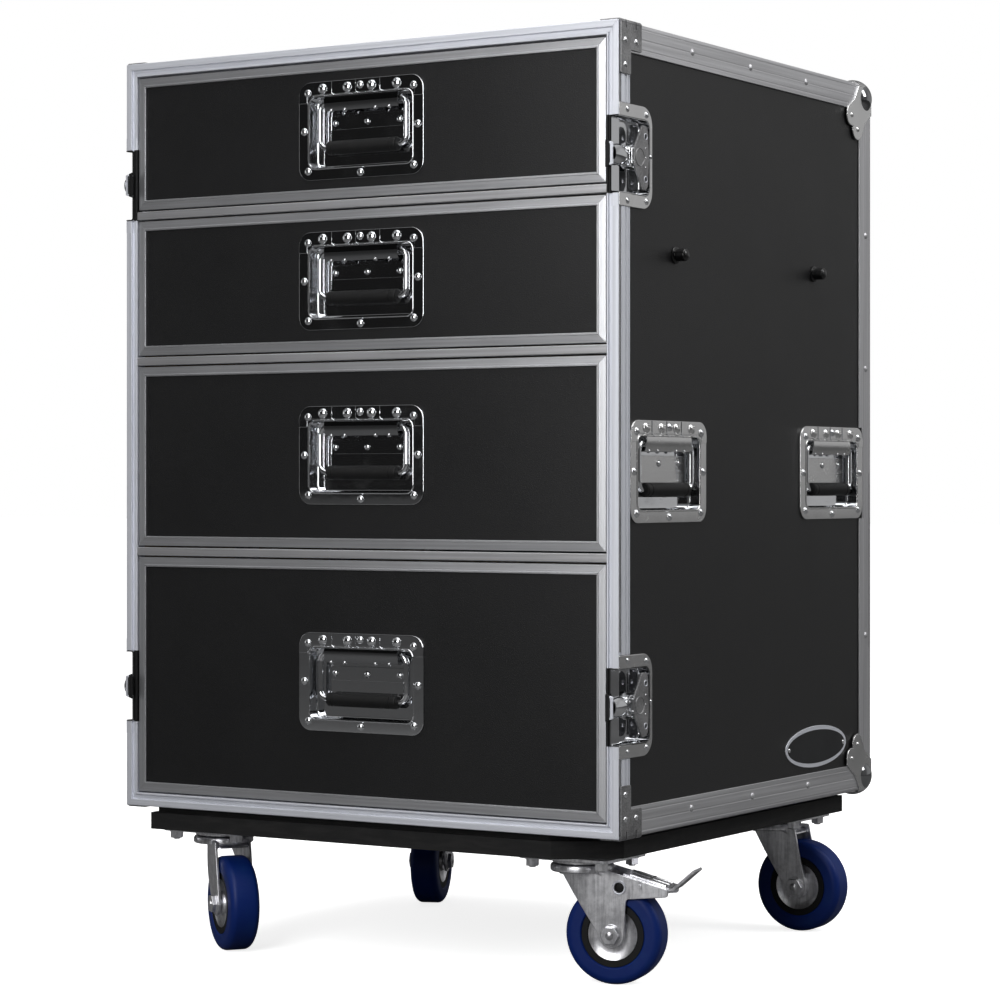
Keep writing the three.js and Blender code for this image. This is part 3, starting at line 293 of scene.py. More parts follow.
def wound(loop, way):
    """The outline, running anticlockwise for way 1 and clockwise for way -1."""
    return loop if area_of(loop) * way > 0 else loop[::-1]


def inset(loop, distance):
    """Each corner moves off both its edges: P + d (m + n) / (1 + m . n), with m and n their normals."""
    step = unit(np.roll(loop, -1, 0) - loop)
    normal = np.stack([-step[:, 1], step[:, 0]], 1)
    before = np.roll(normal, 1, 0)
    return loop + distance * (normal + before) / (1 + (normal * before).sum(1))[:, None]


print("a rounded corner has", ROUND_STEPS + 1, "points")

# %% [markdown]
# Four ways of making solids cover the whole case, as they do in a workshop: a cut sheet, a
# turned part, a drawn bar with mitred or straight ends, and a bent wire.

# %% Solids
EDGE_STEPS = 3
LAP = 0.1  # how deep a fixed part is sunk into the one that carries it


def plate(outline, holes=(), low=0.0, high=1.0, rounding=0.3, paint="chrome", under=None):
    """A flat sheet whose upper edges are rounded. Its lower face can have a finish of its own."""
    loops = [wound(np.asarray(outline, float), 1)] + [wound(np.asarray(hole, float), -1) for hole in holes]
    turn = quarter(EDGE_STEPS + 1)
    steps = np.concatenate([[0.0], rounding * (1 - np.cos(turn))])
    heights = np.concatenate([[low], high - rounding + rounding * np.sin(turn)])
    walls = [
        grid(np.stack([lift(inset(loop, step), height) for step, height in zip(steps, heights)]),
             (False, True), paint)
        for loop in loops
    ]
    upper = [inset(loop, rounding) for loop in loops]
    top = fill(upper, lift(np.concatenate(upper), high), paint)
    bottom = fill(loops, lift(np.concatenate(loops), low), under or paint)
    return join(*walls, top, bottom)


def lathe(profile, sides, paint="chrome", ring=False):
    """A profile of (radius, height) points turned about w. A ring's profile closes on itself."""
    radius, height = np.asarray(profile, float).T
    turn = around(sides)
    points = np.stack([
        np.outer(radius, np.cos(turn)),
        np.outer(radius, np.sin(turn)),
        np.repeat(height[:, None], sides, 1),
    ], -1)
    return grid(points, (ring, True), paint)


def both_ways(half_profile):
    """A profile closed by its own mirror image across the part's middle."""
    points = np.asarray(half_profile, float)
    return np.concatenate([points, points[::-1] * np.array([1.0, -1.0])])


def rod(radius, half, sides, paint="zinc"):
    return lathe([(0.0, -half), (radius, -half), (radius, half), (0.0, half)], sides, paint)


def bar(rings, section, paint="aluminium"):
    """A solid through rings of points that all have the section's shape."""
    ends = [fill([section], ring, paint) for ring in (rings[0], rings[-1])]
    return join(grid(rings, (False, True), paint), *ends)


def member(section, place, start, end, mitres=(0, 0), paint="aluminium"):
    """A bar along u with a section in (v, w). A mitred end moves in by as much as v does."""
    section = np.asarray(section, float)
    ends = [start + section[:, 0] * mitres[0], end - section[:, 0] * mitres[1]]
    return bar(np.stack([np.column_stack([along, section]) for along in ends]), section, paint).at(place)


def rail(section, path, up=(0.0, 0.0, 1.0), paint="chrome"):
    """A section in (sideways, up) carried along a path that lies square to up."""
    path = np.asarray(path, float)
    up = np.asarray(up, float)
    side = unit(np.cross(unit(np.gradient(path, axis=0)), up))
    rings = path[:, None] + section[None, :, :1] * side[:, None] + section[None, :, 1:] * up
    return bar(rings, section, paint)


def dome(radius, height, paint="chrome", sides=12, rings=4, sink=0.3):
    """A rivet's head: radius cos t against height sin t, closed below by a flat foot."""
    turn = quarter(rings + 1)
    profile = np.column_stack([radius * np.cos(turn), height * np.sin(turn)])
    return lathe(np.concatenate([[[0, -sink], [radius, -sink]], profile]), sides, paint)


print("plates, turned parts, bars and rails")

# %% [markdown]
# `make` turns shells into an object: corners that coincide are merged, normals face outwards, and
# edges sharper than a chosen angle stay crisp. The object then rides on its body, and stands for
# the plain CAD nodes that it covers. A modifier weighs the normals by area, so that a wide face
# stays flat beside its narrow rounded edge.

# %% From shells to objects
MERGE = 2e-6  # metres
finishes = {}
made = []


def tidy(mesh):
    work = bmesh.new()
    work.from_mesh(mesh)
    bmesh.ops.remove_doubles(work, verts=work.verts, dist=MERGE)
    bmesh.ops.recalc_face_normals(work, faces=work.faces)
    work.to_mesh(mesh)
    work.free()


def mesh_of(name, shell, crease):
    kept = shell.faces >= 0
    used, index = np.unique(shell.paint, return_inverse=True)
    mesh = bpy.data.meshes.new(name)
    mesh.vertices.add(len(shell.points))
    mesh.vertices.foreach_set("co", (shell.points / MILLIMETRES).astype(np.float32).ravel())
    mesh.loops.add(int(kept.sum()))
    mesh.loops.foreach_set("vertex_index", shell.faces[kept].astype(np.int32))
    mesh.polygons.add(len(shell.faces))
    starts = np.concatenate([[0], np.cumsum(kept.sum(1))[:-1]])
    mesh.polygons.foreach_set("loop_start", starts.astype(np.int32))
    mesh.polygons.foreach_set("material_index", index.astype(np.int32))
    mesh.update(calc_edges=True)
    mesh.uv_layers.new(name="Sheet").data.foreach_set(
        "uv", (shell.sheet[kept] / MILLIMETRES).astype(np.float32).ravel())
    tidy(mesh)
    mesh.shade_smooth()
    mesh.set_sharp_from_angle(angle=math.radians(crease))
    for number in used:
        mesh.materials.append(finishes[PAINTS[number]])
    return mesh


def make(name, body, slot, *shells, replaces=(), crease=32.0):
    piece = bpy.data.objects.new(name, mesh_of(name, join(*shells), crease))
    bpy.context.scene.collection.objects.link(piece)
    even = piece.modifiers.new("even_normals", "WEIGHTED_NORMAL")
    even.keep_sharp = True
    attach(piece, body)
    if replaces:
        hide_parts(*replaces)
    made.append(piece)


print("objects start at the origin, unturned and unscaled")

# %% [markdown]
# Finishes are small networks of nodes. `Socket` lets one write them as sums: two sockets added,
# subtracted or multiplied make the Math node that does it. `Recipe` adds any other node with one
# call, and blends colours and scales coordinates through nodes of their own kind.

# %% A short way to write finishes
class Socket:
    """A node's output that takes part in sums like a number."""

    def __init__(self, recipe, output):
        self.recipe = recipe
        self.output = output

    def math(self, operation, *others):
        return self.recipe.node("Math", {"operation": operation}, dict(enumerate([self, *others])))

    def __add__(self, other):
        return self.math("ADD", other)

    __radd__ = __add__

    def __mul__(self, other):
        return self.math("MULTIPLY", other)

    __rmul__ = __mul__

    def __sub__(self, other):
        return self.math("SUBTRACT", other)

    def __rsub__(self, other):
        return (self * -1) + other

    def part(self, name):
        return Socket(self.recipe, self.output.node.outputs[name])

    def between(self, low, high):
        """0 below low, 1 above high, and a smooth rise between them."""
        return self.recipe.node(
            "MapRange", {"interpolation_type": "SMOOTHSTEP"},
            {"Value": self, "From Min": low, "From Max": high})


class Recipe:
    """One finish while it is being written."""

    def __init__(self, name):
        self.material = bpy.data.materials.new(name)
        self.material.use_nodes = True
        self.tree = self.material.node_tree
        self.shader = self.tree.nodes["Principled BSDF"]
        finishes[name] = self.material

    def plug(self, into, value):
        if isinstance(value, Socket):
            self.tree.links.new(value.output, into)
        elif into.type == "RGBA":
            into.default_value = (*value, 1.0)
        else:
            into.default_value = value

    def node(self, kind, settings=None, sockets=None):
        new = self.tree.nodes.new("ShaderNode" + kind)
        for key, value in (settings or {}).items():
            setattr(new, key, value)
        for key, value in (sockets or {}).items():
            self.plug(new.inputs[key], value)
        return Socket(self, new.outputs[0])

    def place(self, across=(1.0, 1.0, 1.0), kind="Object"):
        """Object or UV coordinates, in metres, times a scale for each axis."""
        source = self.node("TexCoord").part(kind)
        return self.node("VectorMath", {"operation": "MULTIPLY"}, {0: source, 1: across})

    def noise(self, where, scale, detail=2.0, rough=0.5):
        return self.node("TexNoise", None, {
            "Vector": where, "Scale": scale, "Detail": detail, "Roughness": rough})

    def cells(self, where, scale, feature="F1"):
        return self.node(
            "TexVoronoi", {"feature": feature}, {"Vector": where, "Scale": scale})

    def mix(self, share, first, second):
        blend = self.node("Mix", {"data_type": "RGBA"}, {"Factor": share})
        sockets = blend.output.node
        self.plug(sockets.inputs[6], first)
        self.plug(sockets.inputs[7], second)
        return Socket(self, sockets.outputs[2])

    def bump(self, height, strength, distance):
        return self.node("Bump", None, {"Height": height, "Strength": strength, "Distance": distance})

    def set(self, **values):
        for key, value in values.items():
            self.plug(self.shader.inputs[key.replace("_", " ")], value)
        return self.material


def tone(red, green, blue):
    """A colour as a picture stores it, from 0 to 255, made linear: ((s + 0.055) / 1.055) ^ 2.4."""
    stored = np.array([red, green, blue]) / 255
    linear = np.where(stored <= 0.04045, stored / 12.92, ((stored + 0.055) / 1.055) ** 2.4)
    return tuple(float(part) for part in linear)


print("finishes are written as sums")

# %% [markdown]
# The panels wear a black laminate with a fine pebble, so that it doesn't show scratches. Two
# sizes of noise in the bump scatter the light like the real grain, and a faint large pattern in
# the roughness keeps wide faces from looking printed.

# %% Laminate, board paint and plywood
laminate = Recipe("laminate")
where = laminate.place()
grain = laminate.noise(where, 1500.0, 3.0, 0.6)
pebble = laminate.cells(where, 900.0)
wide = laminate.noise(where, 9.0, 4.0, 0.6)
laminate.set(
    Base_Color=laminate.mix(grain.between(0.35, 0.7), tone(7, 7, 8), tone(17, 17, 19)),
    Roughness=0.36 + wide * 0.12,
    Specular_IOR_Level=0.45,
    Normal=laminate.bump(grain + pebble * 0.7, 0.35, 0.0004),
)

board = Recipe("board_paint")
where = board.place((1.0, 1.0, 6.0))
streak = board.noise(where, 26.0, 6.0, 0.65)
fine = board.noise(where, 420.0, 3.0)
wear = board.noise(where, 5.0, 3.0)
board.set(
    Base_Color=board.mix(streak.between(0.4, 0.75), tone(12, 12, 13), tone(30, 29, 29)),
    Roughness=0.62 + wear * 0.2,
    Specular_IOR_Level=0.4,
    Normal=board.bump(streak + fine * 0.6, 0.3, 0.0006),
)

plywood = Recipe("plywood")
growth = plywood.noise(plywood.place((3.0, 3.0, 60.0)), 5.0, 5.0, 0.6)
pores = plywood.noise(plywood.place((50.0, 50.0, 900.0)), 2.0, 2.0)
plywood.set(
    Base_Color=plywood.mix(growth.between(0.3, 0.7), tone(203, 172, 128), tone(222, 196, 154)),
    Roughness=0.55 + pores * 0.15,
    Normal=plywood.bump(pores + growth, 0.15, 0.0003),
)
print("wood finishes:", list(finishes))

# %% [markdown]
# Extruded aluminium is covered in fine lines along the bar. The bars carry their own unrolled
# sheet, with u along the bar, so noise that is squeezed across the bar and stretched along it
# draws those lines on every bar alike. Pressed steel is smoother. Chrome has soft smudges and a
# few scratches. A darker copy of chrome, with the same smudges and scratches, is painted shade: it
# stands in for the dark room that the ball corners and the chromed handles' hoods mirror. Zinc has
# the mottled spangle of a plating bath over upright brushing, and dull steel is nearly black in places.

# %% Metals


def drawn_metal(name, dark, light, smooth, spread):
    """Fine lines along the bar, at a given roughness and its spread."""
    metal = Recipe(name)
    lines = metal.noise(metal.place((6.0, 2600.0, 1.0), "UV"), 1.0, 3.0, 0.7)
    broad = metal.noise(metal.place((3.0, 260.0, 1.0), "UV"), 1.0, 2.0)
    cloud = metal.noise(metal.place(), 14.0, 4.0)
    metal.set(
        Base_Color=metal.mix(broad.between(0.2, 0.8), dark, light),
        Metallic=1.0,
        Roughness=smooth + lines * spread + cloud * 0.06,
        Normal=metal.bump(lines + broad, 0.12, 0.0003),
    )


drawn_metal("aluminium", (0.5, 0.5, 0.515), (0.7, 0.7, 0.72), 0.34, 0.16)
drawn_metal("bright_aluminium", (0.54, 0.545, 0.565), (0.7, 0.705, 0.73), 0.3, 0.16)
drawn_metal("matt_aluminium", (0.68, 0.695, 0.74), (0.84, 0.855, 0.91), 0.56, 0.1)


def polished(name, colour):
    """A mirror with soft smudges, a few scratches and a faint ripple from the press."""
    metal = Recipe(name)
    where = metal.place()
    smudge = metal.noise(where, 22.0, 5.0, 0.6)
    scratch = metal.noise(metal.place((900.0, 60.0, 900.0)), 1.0, 2.0)
    ripple = metal.noise(where, 70.0, 2.0)
    metal.set(
        Base_Color=colour,
        Metallic=1.0,
        Roughness=0.07 + smudge.between(0.45, 0.8) * 0.1 + scratch.between(0.66, 0.74) * 0.12,
        Normal=metal.bump(ripple, 0.06, 0.0006),
    )


polished("chrome", (0.74, 0.75, 0.77))
# A darker copy of chrome: painted shade for parts that mirror a dark room.
polished("dark_chrome", (0.3, 0.305, 0.315))

satin = Recipe("satin_steel")
where = satin.place()
smudge = satin.noise(where, 30.0, 5.0, 0.6)
fine = satin.noise(where, 900.0, 2.0)
satin.set(
    Base_Color=satin.mix(smudge, (0.68, 0.68, 0.68), (0.82, 0.82, 0.82)),
    Metallic=1.0,
    Roughness=0.18 + smudge * 0.1 + fine * 0.05,
    Normal=satin.bump(fine + smudge, 0.1, 0.0004),
)

dull = Recipe("dull_steel")
where = dull.place()
smudge = dull.noise(where, 40.0, 5.0, 0.6)
fine = dull.noise(where, 700.0, 2.0)
dull.set(
    Base_Color=dull.mix(
        (smudge * 0.5 + fine * 0.5).between(0.36, 0.64), (0.19, 0.19, 0.195), (0.36, 0.36, 0.365)),
    Metallic=0.9,
    Roughness=0.42 + smudge * 0.12,
    Normal=dull.bump(fine, 0.25, 0.0004),
)

zinc = Recipe("zinc")
where = zinc.place()
mottle = zinc.noise(where, 130.0, 8.0, 0.75)
stain = zinc.noise(where, 26.0, 3.0)
brushed = zinc.noise(zinc.place((260.0, 260.0, 16.0)), 1.0, 4.0, 0.65)
cloud = mottle * 0.35 + stain * 0.25 + brushed * 0.4
zinc.set(
    Base_Color=zinc.mix(cloud.between(0.37, 0.63), (0.5, 0.5, 0.525), (0.97, 0.97, 1.0)),
    Metallic=1.0,
    Roughness=0.2 + mottle * 0.14 + stain * 0.1,
    Normal=zinc.bump(mottle + stain, 0.16, 0.0008),
)
print("metal finishes:", list(finishes)[3:])

# %% [markdown]
# Rubber and plastic are dark and soft. The blue treads carry dust and fine rubbing marks round
# the rim, the grips are black rubber, and the studs are blackened screws.

# %% Rubber and black steel
tread = Recipe("blue_tread")
where = tread.place()
dust = tread.noise(where, 45.0, 6.0, 0.7)
fine = tread.noise(where, 800.0, 2.0)
tread.set(
    Base_Color=tread.mix(dust.between(0.45, 0.85), tone(2, 33, 100), tone(12, 46, 104)),
    Roughness=0.36 + dust * 0.25,
    Specular_IOR_Level=0.25,
    Normal=tread.bump(fine + dust, 0.15, 0.0005),
)

rubber = Recipe("rubber")
where = rubber.place()
dust = rubber.noise(where, 60.0, 5.0, 0.7)
fine = rubber.noise(where, 1200.0, 2.0)
rubber.set(
    Base_Color=rubber.mix(dust.between(0.5, 0.9), tone(9, 9, 10), tone(28, 28, 28)),
    Roughness=0.48 + dust * 0.2,
    Specular_IOR_Level=0.3,
    Normal=rubber.bump(fine, 0.2, 0.0004),
)

black = Recipe("black_steel")
where = black.place()
rubbed = black.noise(where, 120.0, 4.0)
black.set(
    Base_Color=black.mix(rubbed.between(0.5, 0.9), tone(10, 10, 11), tone(34, 34, 36)),
    Metallic=0.3,
    Roughness=0.2 + rubbed * 0.2,
    Coat_Weight=0.3,
    Normal=black.bump(rubbed, 0.08, 0.0004),
)

badge_face = Recipe("badge_face")
where = badge_face.place()
speck = badge_face.noise(where, 500.0, 3.0)
wide = badge_face.noise(where, 20.0, 3.0)
badge_face.set(
    Base_Color=badge_face.mix(wide, tone(34, 35, 37), tone(52, 53, 55)),
    Metallic=0.6,
    Roughness=0.32 + speck * 0.15,
    Normal=badge_face.bump(speck, 0.1, 0.0003),
)
print(len(finishes), "finishes")

# %% [markdown]
# A side panel is 9 mm plywood, cut out for two handles and two latches. The lid of a road case
# hangs on the black studs, which are screwed through the panel. The panel is drawn in (back, up)
# and faces outwards.

# %% Side panels and studs
HANDLE_TUB = (127.0, 72.0, 7.0)
TUB_DROP = 1.6
TUB_SHEET = 1.2
HOLE_ROOM = TUB_SHEET + PANEL_GAP
LATCH_TUB_BACK = 60.6
LATCH_TUB_HEIGHT = 73.0
LATCH_ROOM = LATCH_TUB_HEIGHT / 2 + HOLE_ROOM
PANEL_FRONT = 5.3
PANEL_ROUND = 0.2
STUD_PLACES = [116.0, DEPTH - 143.0]
STUD_DROP = 221.0
STUD_RADIUS = 6.3
STUD_REACH = 13.0
STUD_DOME = 3.0
STUD_FLANGE = [(0.0, -SKIN), (8.6, -SKIN), (8.6, -0.4), (8.1, 0.2), (STUD_RADIUS, 0.6)]


def side_face(side):
    """On the outside of one side, with u running back, v up and w outwards."""
    return Place(case.put([side * HALF, 0, 0]), BACK, UP, RIGHT * side)


def handle_hole(centre):
    width, height, corner = HANDLE_TUB
    room = HOLE_ROOM * 2
    return rectangle(width + room, height + room, corner + HOLE_ROOM, centre)


def latch_middles():
    drums = [joint_at(f"right_{level}_latch_turn") for level in LEVELS]
    return [drum[2] - rim_low[2] for drum in drums]


def handle_places(side_name):
    """The middles of a side's two flanges, as (back, up)."""
    low_high = [box_of(f"{side_name}_{place}_handle_dish") for place in ("front", "back")]
    return [((low + high) / 2)[1:] - rim_low[1:] for low, high in low_high]


def panel_outline(side_name):
    """The latch cut-outs are open towards the front, so they are part of the outline."""
    low, high = box_of(f"{side_name}_slide_rack")
    bottom = low[2] - rim_low[2]
    top = high[2] - rim_low[2]
    back = DEPTH - SKIN
    deep = LATCH_TUB_BACK + HOLE_ROOM
    corners = [(PANEL_FRONT, bottom), (back, bottom), (back, top), (PANEL_FRONT, top)]
    for middle in sorted(latch_middles(), reverse=True):
        corners += [(PANEL_FRONT, middle + LATCH_ROOM), (deep, middle + LATCH_ROOM),
                    (deep, middle - LATCH_ROOM), (PANEL_FRONT, middle - LATCH_ROOM)]
    return rounded(corners, SHARP, 1)


def stud():
    """A flange in the panel, a shaft, and a domed head."""
    turn = quarter(6)
    shaft = STUD_REACH - STUD_DOME
    head = np.column_stack([STUD_RADIUS * np.cos(turn), shaft + STUD_DOME * np.sin(turn)])
    return lathe(np.concatenate([STUD_FLANGE, head]), 24, "black_steel")


def side_panel(side_name, side):
    face = side_face(side)
    holes = [handle_hole((back, up - TUB_DROP)) for back, up in handle_places(side_name)]
    sheet = plate(panel_outline(side_name), holes, -SKIN - PANEL_WALL, -SKIN, PANEL_ROUND,
                  "laminate", "plywood")
    spots = [face.moved(back, HEIGHT - STUD_DROP) for back in STUD_PLACES]
    for name, shell in (("side_board", sheet.at(face)), ("lid_studs", repeat(stud(), spots))):
        make(f"{side_name}_{name}", "case", "black_laminate", shell, replaces=[f"{side_name}_side_panel"])


for side_name, side in SIDES.items():
    side_panel(side_name, side)
print("side panels with", len(STUD_PLACES), "studs each")

# %% [markdown]
# Each edge behind the front rim is an extruded angle. Its section has a round outer corner and
# thin legs with shallow lines along them. The bars stop where the ball corners begin.

# %% Edge angles
ANGLE_LEG = 30.0
ANGLE_ROUND = 3.0
ANGLE_START = 22.7
BALL_INSET = 15.0
LINE_DEPTH = 0.12
LINE_WIDTH = 0.9
LINE_PLACES = [5.0, 15.0, 25.0]
LINE_CLEAR = 1.0
LEG_END_RADII = [0.5, 0.3, 0.8, 0.3, 0.5]


def lines_on_leg(places, flip):
    """The corners of shallow lines on one outer face, from the outer corner to the leg's end."""
    corners = []
    for place in sorted(places, reverse=flip):
        step = -LINE_WIDTH if flip else LINE_WIDTH
        run = [place - step, place - step / 2, place + step / 2, place + step]
        corners += list(zip(run, [0.0, LINE_DEPTH, LINE_DEPTH, 0.0]))
    return corners


def angle_section(short_leg=ANGLE_LEG):
    """An L in (v, w) whose outer corner is at (0, 0). The leg along v can be cut short."""
    wall = ANGLE_WALL
    on_v = lines_on_leg([place for place in LINE_PLACES if place < short_leg - LINE_CLEAR], False)
    on_w = [(w, v) for v, w in lines_on_leg(LINE_PLACES, True)]
    corners = [(0, 0), *on_v, (short_leg, 0), (short_leg, wall), (wall, wall),
               (wall, ANGLE_LEG), (0, ANGLE_LEG), *on_w]
    radii = [ANGLE_ROUND, *[SHARP] * len(on_v), *LEG_END_RADII, *[SHARP] * len(on_w)]
    return rounded(corners, radii, 3)


def edge_angles():
    bars = []
    section = angle_section()
    stop = DEPTH - BALL_INSET
    for side_name, side in SIDES.items():
        x = side * HALF
        for level in LEVELS.values():
            place = Place(case.put([x, 0, edge_height(level)]), BACK, UP * -level, RIGHT * -side)
            bars.append(member(section, place, ANGLE_START, stop))
        back = Place(case.put([x, DEPTH, 0]), UP, -BACK, RIGHT * -side)
        flange_low, flange_high = box_of(f"{side_name}_back_handle_dish")
        low = flange_low[2] - rim_low[2] - PANEL_GAP
        high = flange_high[2] - rim_low[2] + PANEL_GAP
        short = DEPTH - (flange_high[1] - rim_low[1]) - PANEL_GAP
        bars.append(member(section, back, BALL_INSET, low))
        bars.append(member(angle_section(short), back, low, high))
        bars.append(member(section, back, high, HEIGHT - BALL_INSET))
    reach = HALF - BALL_INSET
    for level in LEVELS.values():
        place = Place(case.put([0, DEPTH, edge_height(level)]), RIGHT, UP * -level, -BACK)
        bars.append(member(section, place, -reach, reach))
    return bars


bars = edge_angles()
make("edge_angles", "case", "aluminium_edging", *bars, replaces=["edge_frame"])
print(len(bars), "bars of edge angle")

# %% [markdown]
# Small domed rivets hold the angles. They stand on one line along each bar, and none is left
# where a handle's flange covers the back edge.

# %% Rivets along the edges
RIVET_RADIUS = 3.6
RIVET_HEIGHT = 1.5
RIVET_LINE = 14.0
LOW_RIVET_LINE = 17.5
SIDE_RIVETS = {"top": [149.0, 276.0, 406.0], "bottom": [147.0, 280.0, 410.5]}
BACK_RIVETS = [174.0, 324.0, 474.0, 624.0]
CROSS_RIVETS = [-180.0, -60.0, 60.0, 180.0]
HANDLE_DROP = 437.5
HANDLE_CLEAR = 60.0


def side_rivets(side):
    """On both faces of the three angles that border one side."""
    face = side_face(side)
    inner = side * (HALF - RIVET_LINE)
    spots = []
    for level_name, places in SIDE_RIVETS.items():
        level = LEVELS[level_name]
        line = HEIGHT - RIVET_LINE if level > 0 else LOW_RIVET_LINE
        spots += [face.moved(y, line) for y in places]
        spots += [Place(case.put([inner, y, edge_height(level)]), BACK, RIGHT, UP * level)
                  for y in places]
    handle_middle = HEIGHT - HANDLE_DROP
    spots += [face.moved(DEPTH - RIVET_LINE, z) for z in BACK_RIVETS
              if abs(z - handle_middle) > HANDLE_CLEAR]
    return spots + [Place(case.put([inner, DEPTH, z]), RIGHT, UP, BACK) for z in BACK_RIVETS]


def cross_rivets(level):
    """On both faces of the angle along the top or the bottom of the back."""
    z = edge_height(level)
    behind = [Place(case.put([x, DEPTH, z - level * RIVET_LINE]), RIGHT, UP, BACK) for x in CROSS_RIVETS]
    return behind + [Place(case.put([x, DEPTH - RIVET_LINE, z]), RIGHT, BACK, UP * level)
                     for x in CROSS_RIVETS]


spots = [spot for side in SIDES.values() for spot in side_rivets(side)]
spots += [spot for level in LEVELS.values() for spot in cross_rivets(level)]
heads = repeat(dome(RIVET_RADIUS, RIVET_HEIGHT, "aluminium"), spots)
make("edge_rivets", "case", "aluminium_edging", heads)
print(len(spots), "rivets")

# %% [markdown]
# The front rim is a thick extrusion. From the outside inwards it has a flat band, a groove that
# takes the lid's tongue, and a thin lip round the drawers. Its leg on the side has three recesses,
# and a dark strip in the foremost one is painted shade. It is cut back where the latches sit, and
# there the lip left over is painted black and a black filler lies in the gap, both painted shade.
# Its corners are mitred.

# %% Front rim
BAND = 7.0
GROOVE = 5.0
GROOVE_DEPTH = 3.0
LIP = 2.1
RIM = BAND + GROOVE + LIP
LIP_SET_BACK = 0.6
LIP_BACK = 14.0
LIP_INSET = SKIN + PANEL_WALL + PANEL_GAP
WEB_BACK = 5.0
LEG_BACK = 22.4
MITRE_GAP = 0.12
FLANGE_HALF = 100.5 / 2
POCKET_DEPTH = 1.9
POCKET_FRONT = 0.7
NOTCH_DEPTH = 9.5
RIM_PAINT = "matt_aluminium"
BRACE_CLEAR = 3.0

INNER_RIM = [
    (BAND, GROOVE_DEPTH), (BAND + GROOVE, GROOVE_DEPTH), (BAND + GROOVE, LIP_SET_BACK),
    (RIM, LIP_SET_BACK), (RIM, LIP_BACK), (LIP_INSET, LIP_BACK), (LIP_INSET, WEB_BACK),
]
INNER_RADII = [0.2, 0.2, 0.4, 0.6, 0.3, 0.3, 0.3]
LEG_RECESSES = [
    (0.0, 21.4), (0.9, 21.0), (0.9, 18.8), (0.0, 18.4), (0.0, 15.6), (0.9, 15.2), (0.9, 12.6), (0.0, 12.2),
    (0.0, 6.4), (1.3, 6.0), (1.3, 1.6), (0.0, 1.2),
]
LEG_RADII = [0.3, 0.3, 0.4, *[0.25] * len(LEG_RECESSES)]
BAND_RADII = [1.0, 0.5]
POCKET_RADII = [0.3, 0.5, *INNER_RADII, 0.2, 0.1, 0.1]
LIP_RADII = [0.4, 0.6, 0.3, 0.3, 0.2, 0.2]
# The black filler that paints the shade in a latch's gap.
SHADE_FILLER_FRONT = LIP_SET_BACK + 1.0
SHADE_FILLER_ROUND = 0.2
# The dark strip that paints the shade in the leg's foremost recess.
RECESS_SHADE_STRIP = [(0.9, 1.9), (0.9, 5.7), (1.4, 5.7), (1.4, 1.9)]


def rim_section():
    corners = [(0, 0), (BAND, 0), *INNER_RIM, (ANGLE_WALL, WEB_BACK), (ANGLE_WALL, LEG_BACK),
               (0, LEG_BACK), *LEG_RECESSES]
    return rounded(corners, [*BAND_RADII, *INNER_RADII, *LEG_RADII], 3)


def pocket_section():
    corners = [(0, 0), (BAND, 0), *INNER_RIM, (POCKET_DEPTH, WEB_BACK), (POCKET_DEPTH, POCKET_FRONT),
               (0, POCKET_FRONT)]
    return rounded(corners, POCKET_RADII, 3)


def shaded_notch_sections():
    """At a latch only the lip is left, painted black, with a black filler in front of the panel: both are
    painted shade in the gap.
    """
    groove = BAND + GROOVE
    corners = [(groove, LIP_SET_BACK), (RIM, LIP_SET_BACK), (RIM, LIP_BACK), (LIP_INSET, LIP_BACK),
               (LIP_INSET, WEB_BACK), (groove, WEB_BACK)]
    shade_filler = [(NOTCH_DEPTH, SHADE_FILLER_FRONT), (groove, SHADE_FILLER_FRONT), (groove, WEB_BACK),
              (NOTCH_DEPTH, WEB_BACK)]
    return rounded(corners, LIP_RADII, 3), rounded(shade_filler, SHADE_FILLER_ROUND, 2)


def rim_bar(section, place, start, end, mitres=(0, 0)):
    return member(section, place, start, end, mitres, RIM_PAINT)


def upright_lengths(side):
    """One side of the rim, in stretches about its latches."""
    place = Place(case.put([side * HALF, 0, 0]), UP, RIGHT * -side, BACK)
    pocket = FLANGE_HALF + PANEL_GAP
    recess_shade = rounded(RECESS_SHADE_STRIP, SHARP, 1)
    lengths = []
    low = MITRE_GAP
    for middle in sorted(latch_middles()):
        lengths.append(rim_bar(rim_section(), place, low, middle - pocket, (int(low == MITRE_GAP), 0)))
        # A dark strip in the leg's foremost recess: painted shade.
        lengths.append(member(recess_shade, place, low + BRACE_CLEAR, middle - pocket, paint="dull_steel"))
        lengths.append(rim_bar(pocket_section(), place, middle - pocket, middle - LATCH_ROOM))
        # At a latch the lip and the filler are black rubber: painted shade in the gap.
        lengths += [member(section, place, middle - LATCH_ROOM, middle + LATCH_ROOM, paint="rubber")
                    for section in shaded_notch_sections()]
        lengths.append(rim_bar(pocket_section(), place, middle + LATCH_ROOM, middle + pocket))
        low = middle + pocket
    lengths.append(rim_bar(rim_section(), place, low, HEIGHT - MITRE_GAP, (0, 1)))
    # A dark strip in the leg's foremost recess: painted shade.
    lengths.append(member(recess_shade, place, low, HEIGHT - BRACE_CLEAR, paint="dull_steel"))
    return lengths


def level_length(level):
    place = Place(case.put([-HALF, 0, edge_height(level)]), RIGHT, UP * -level, BACK)
    return rim_bar(rim_section(), place, MITRE_GAP, WIDTH - MITRE_GAP, (1, 1))


lengths = [level_length(level) for level in LEVELS.values()]
lengths += [length for side in SIDES.values() for length in upright_lengths(side)]
make("rim_lengths", "case", "aluminium_edging", *lengths, replaces=["front_rim"])
print(len(lengths), "lengths of rim")

# %% [markdown]
# Three rails part the drawers. They run between the lips, a little behind them.

# %% Divider rails
RAIL_HEIGHT = 8.8
RAIL_FRONT = 1.0
RAIL_CHAMFER = 0.8
RAIL_ROUND = 0.3
DRAWER_GAP = 1.7
DRAWERS = [f"drawer_{number}" for number in range(1, 5)]


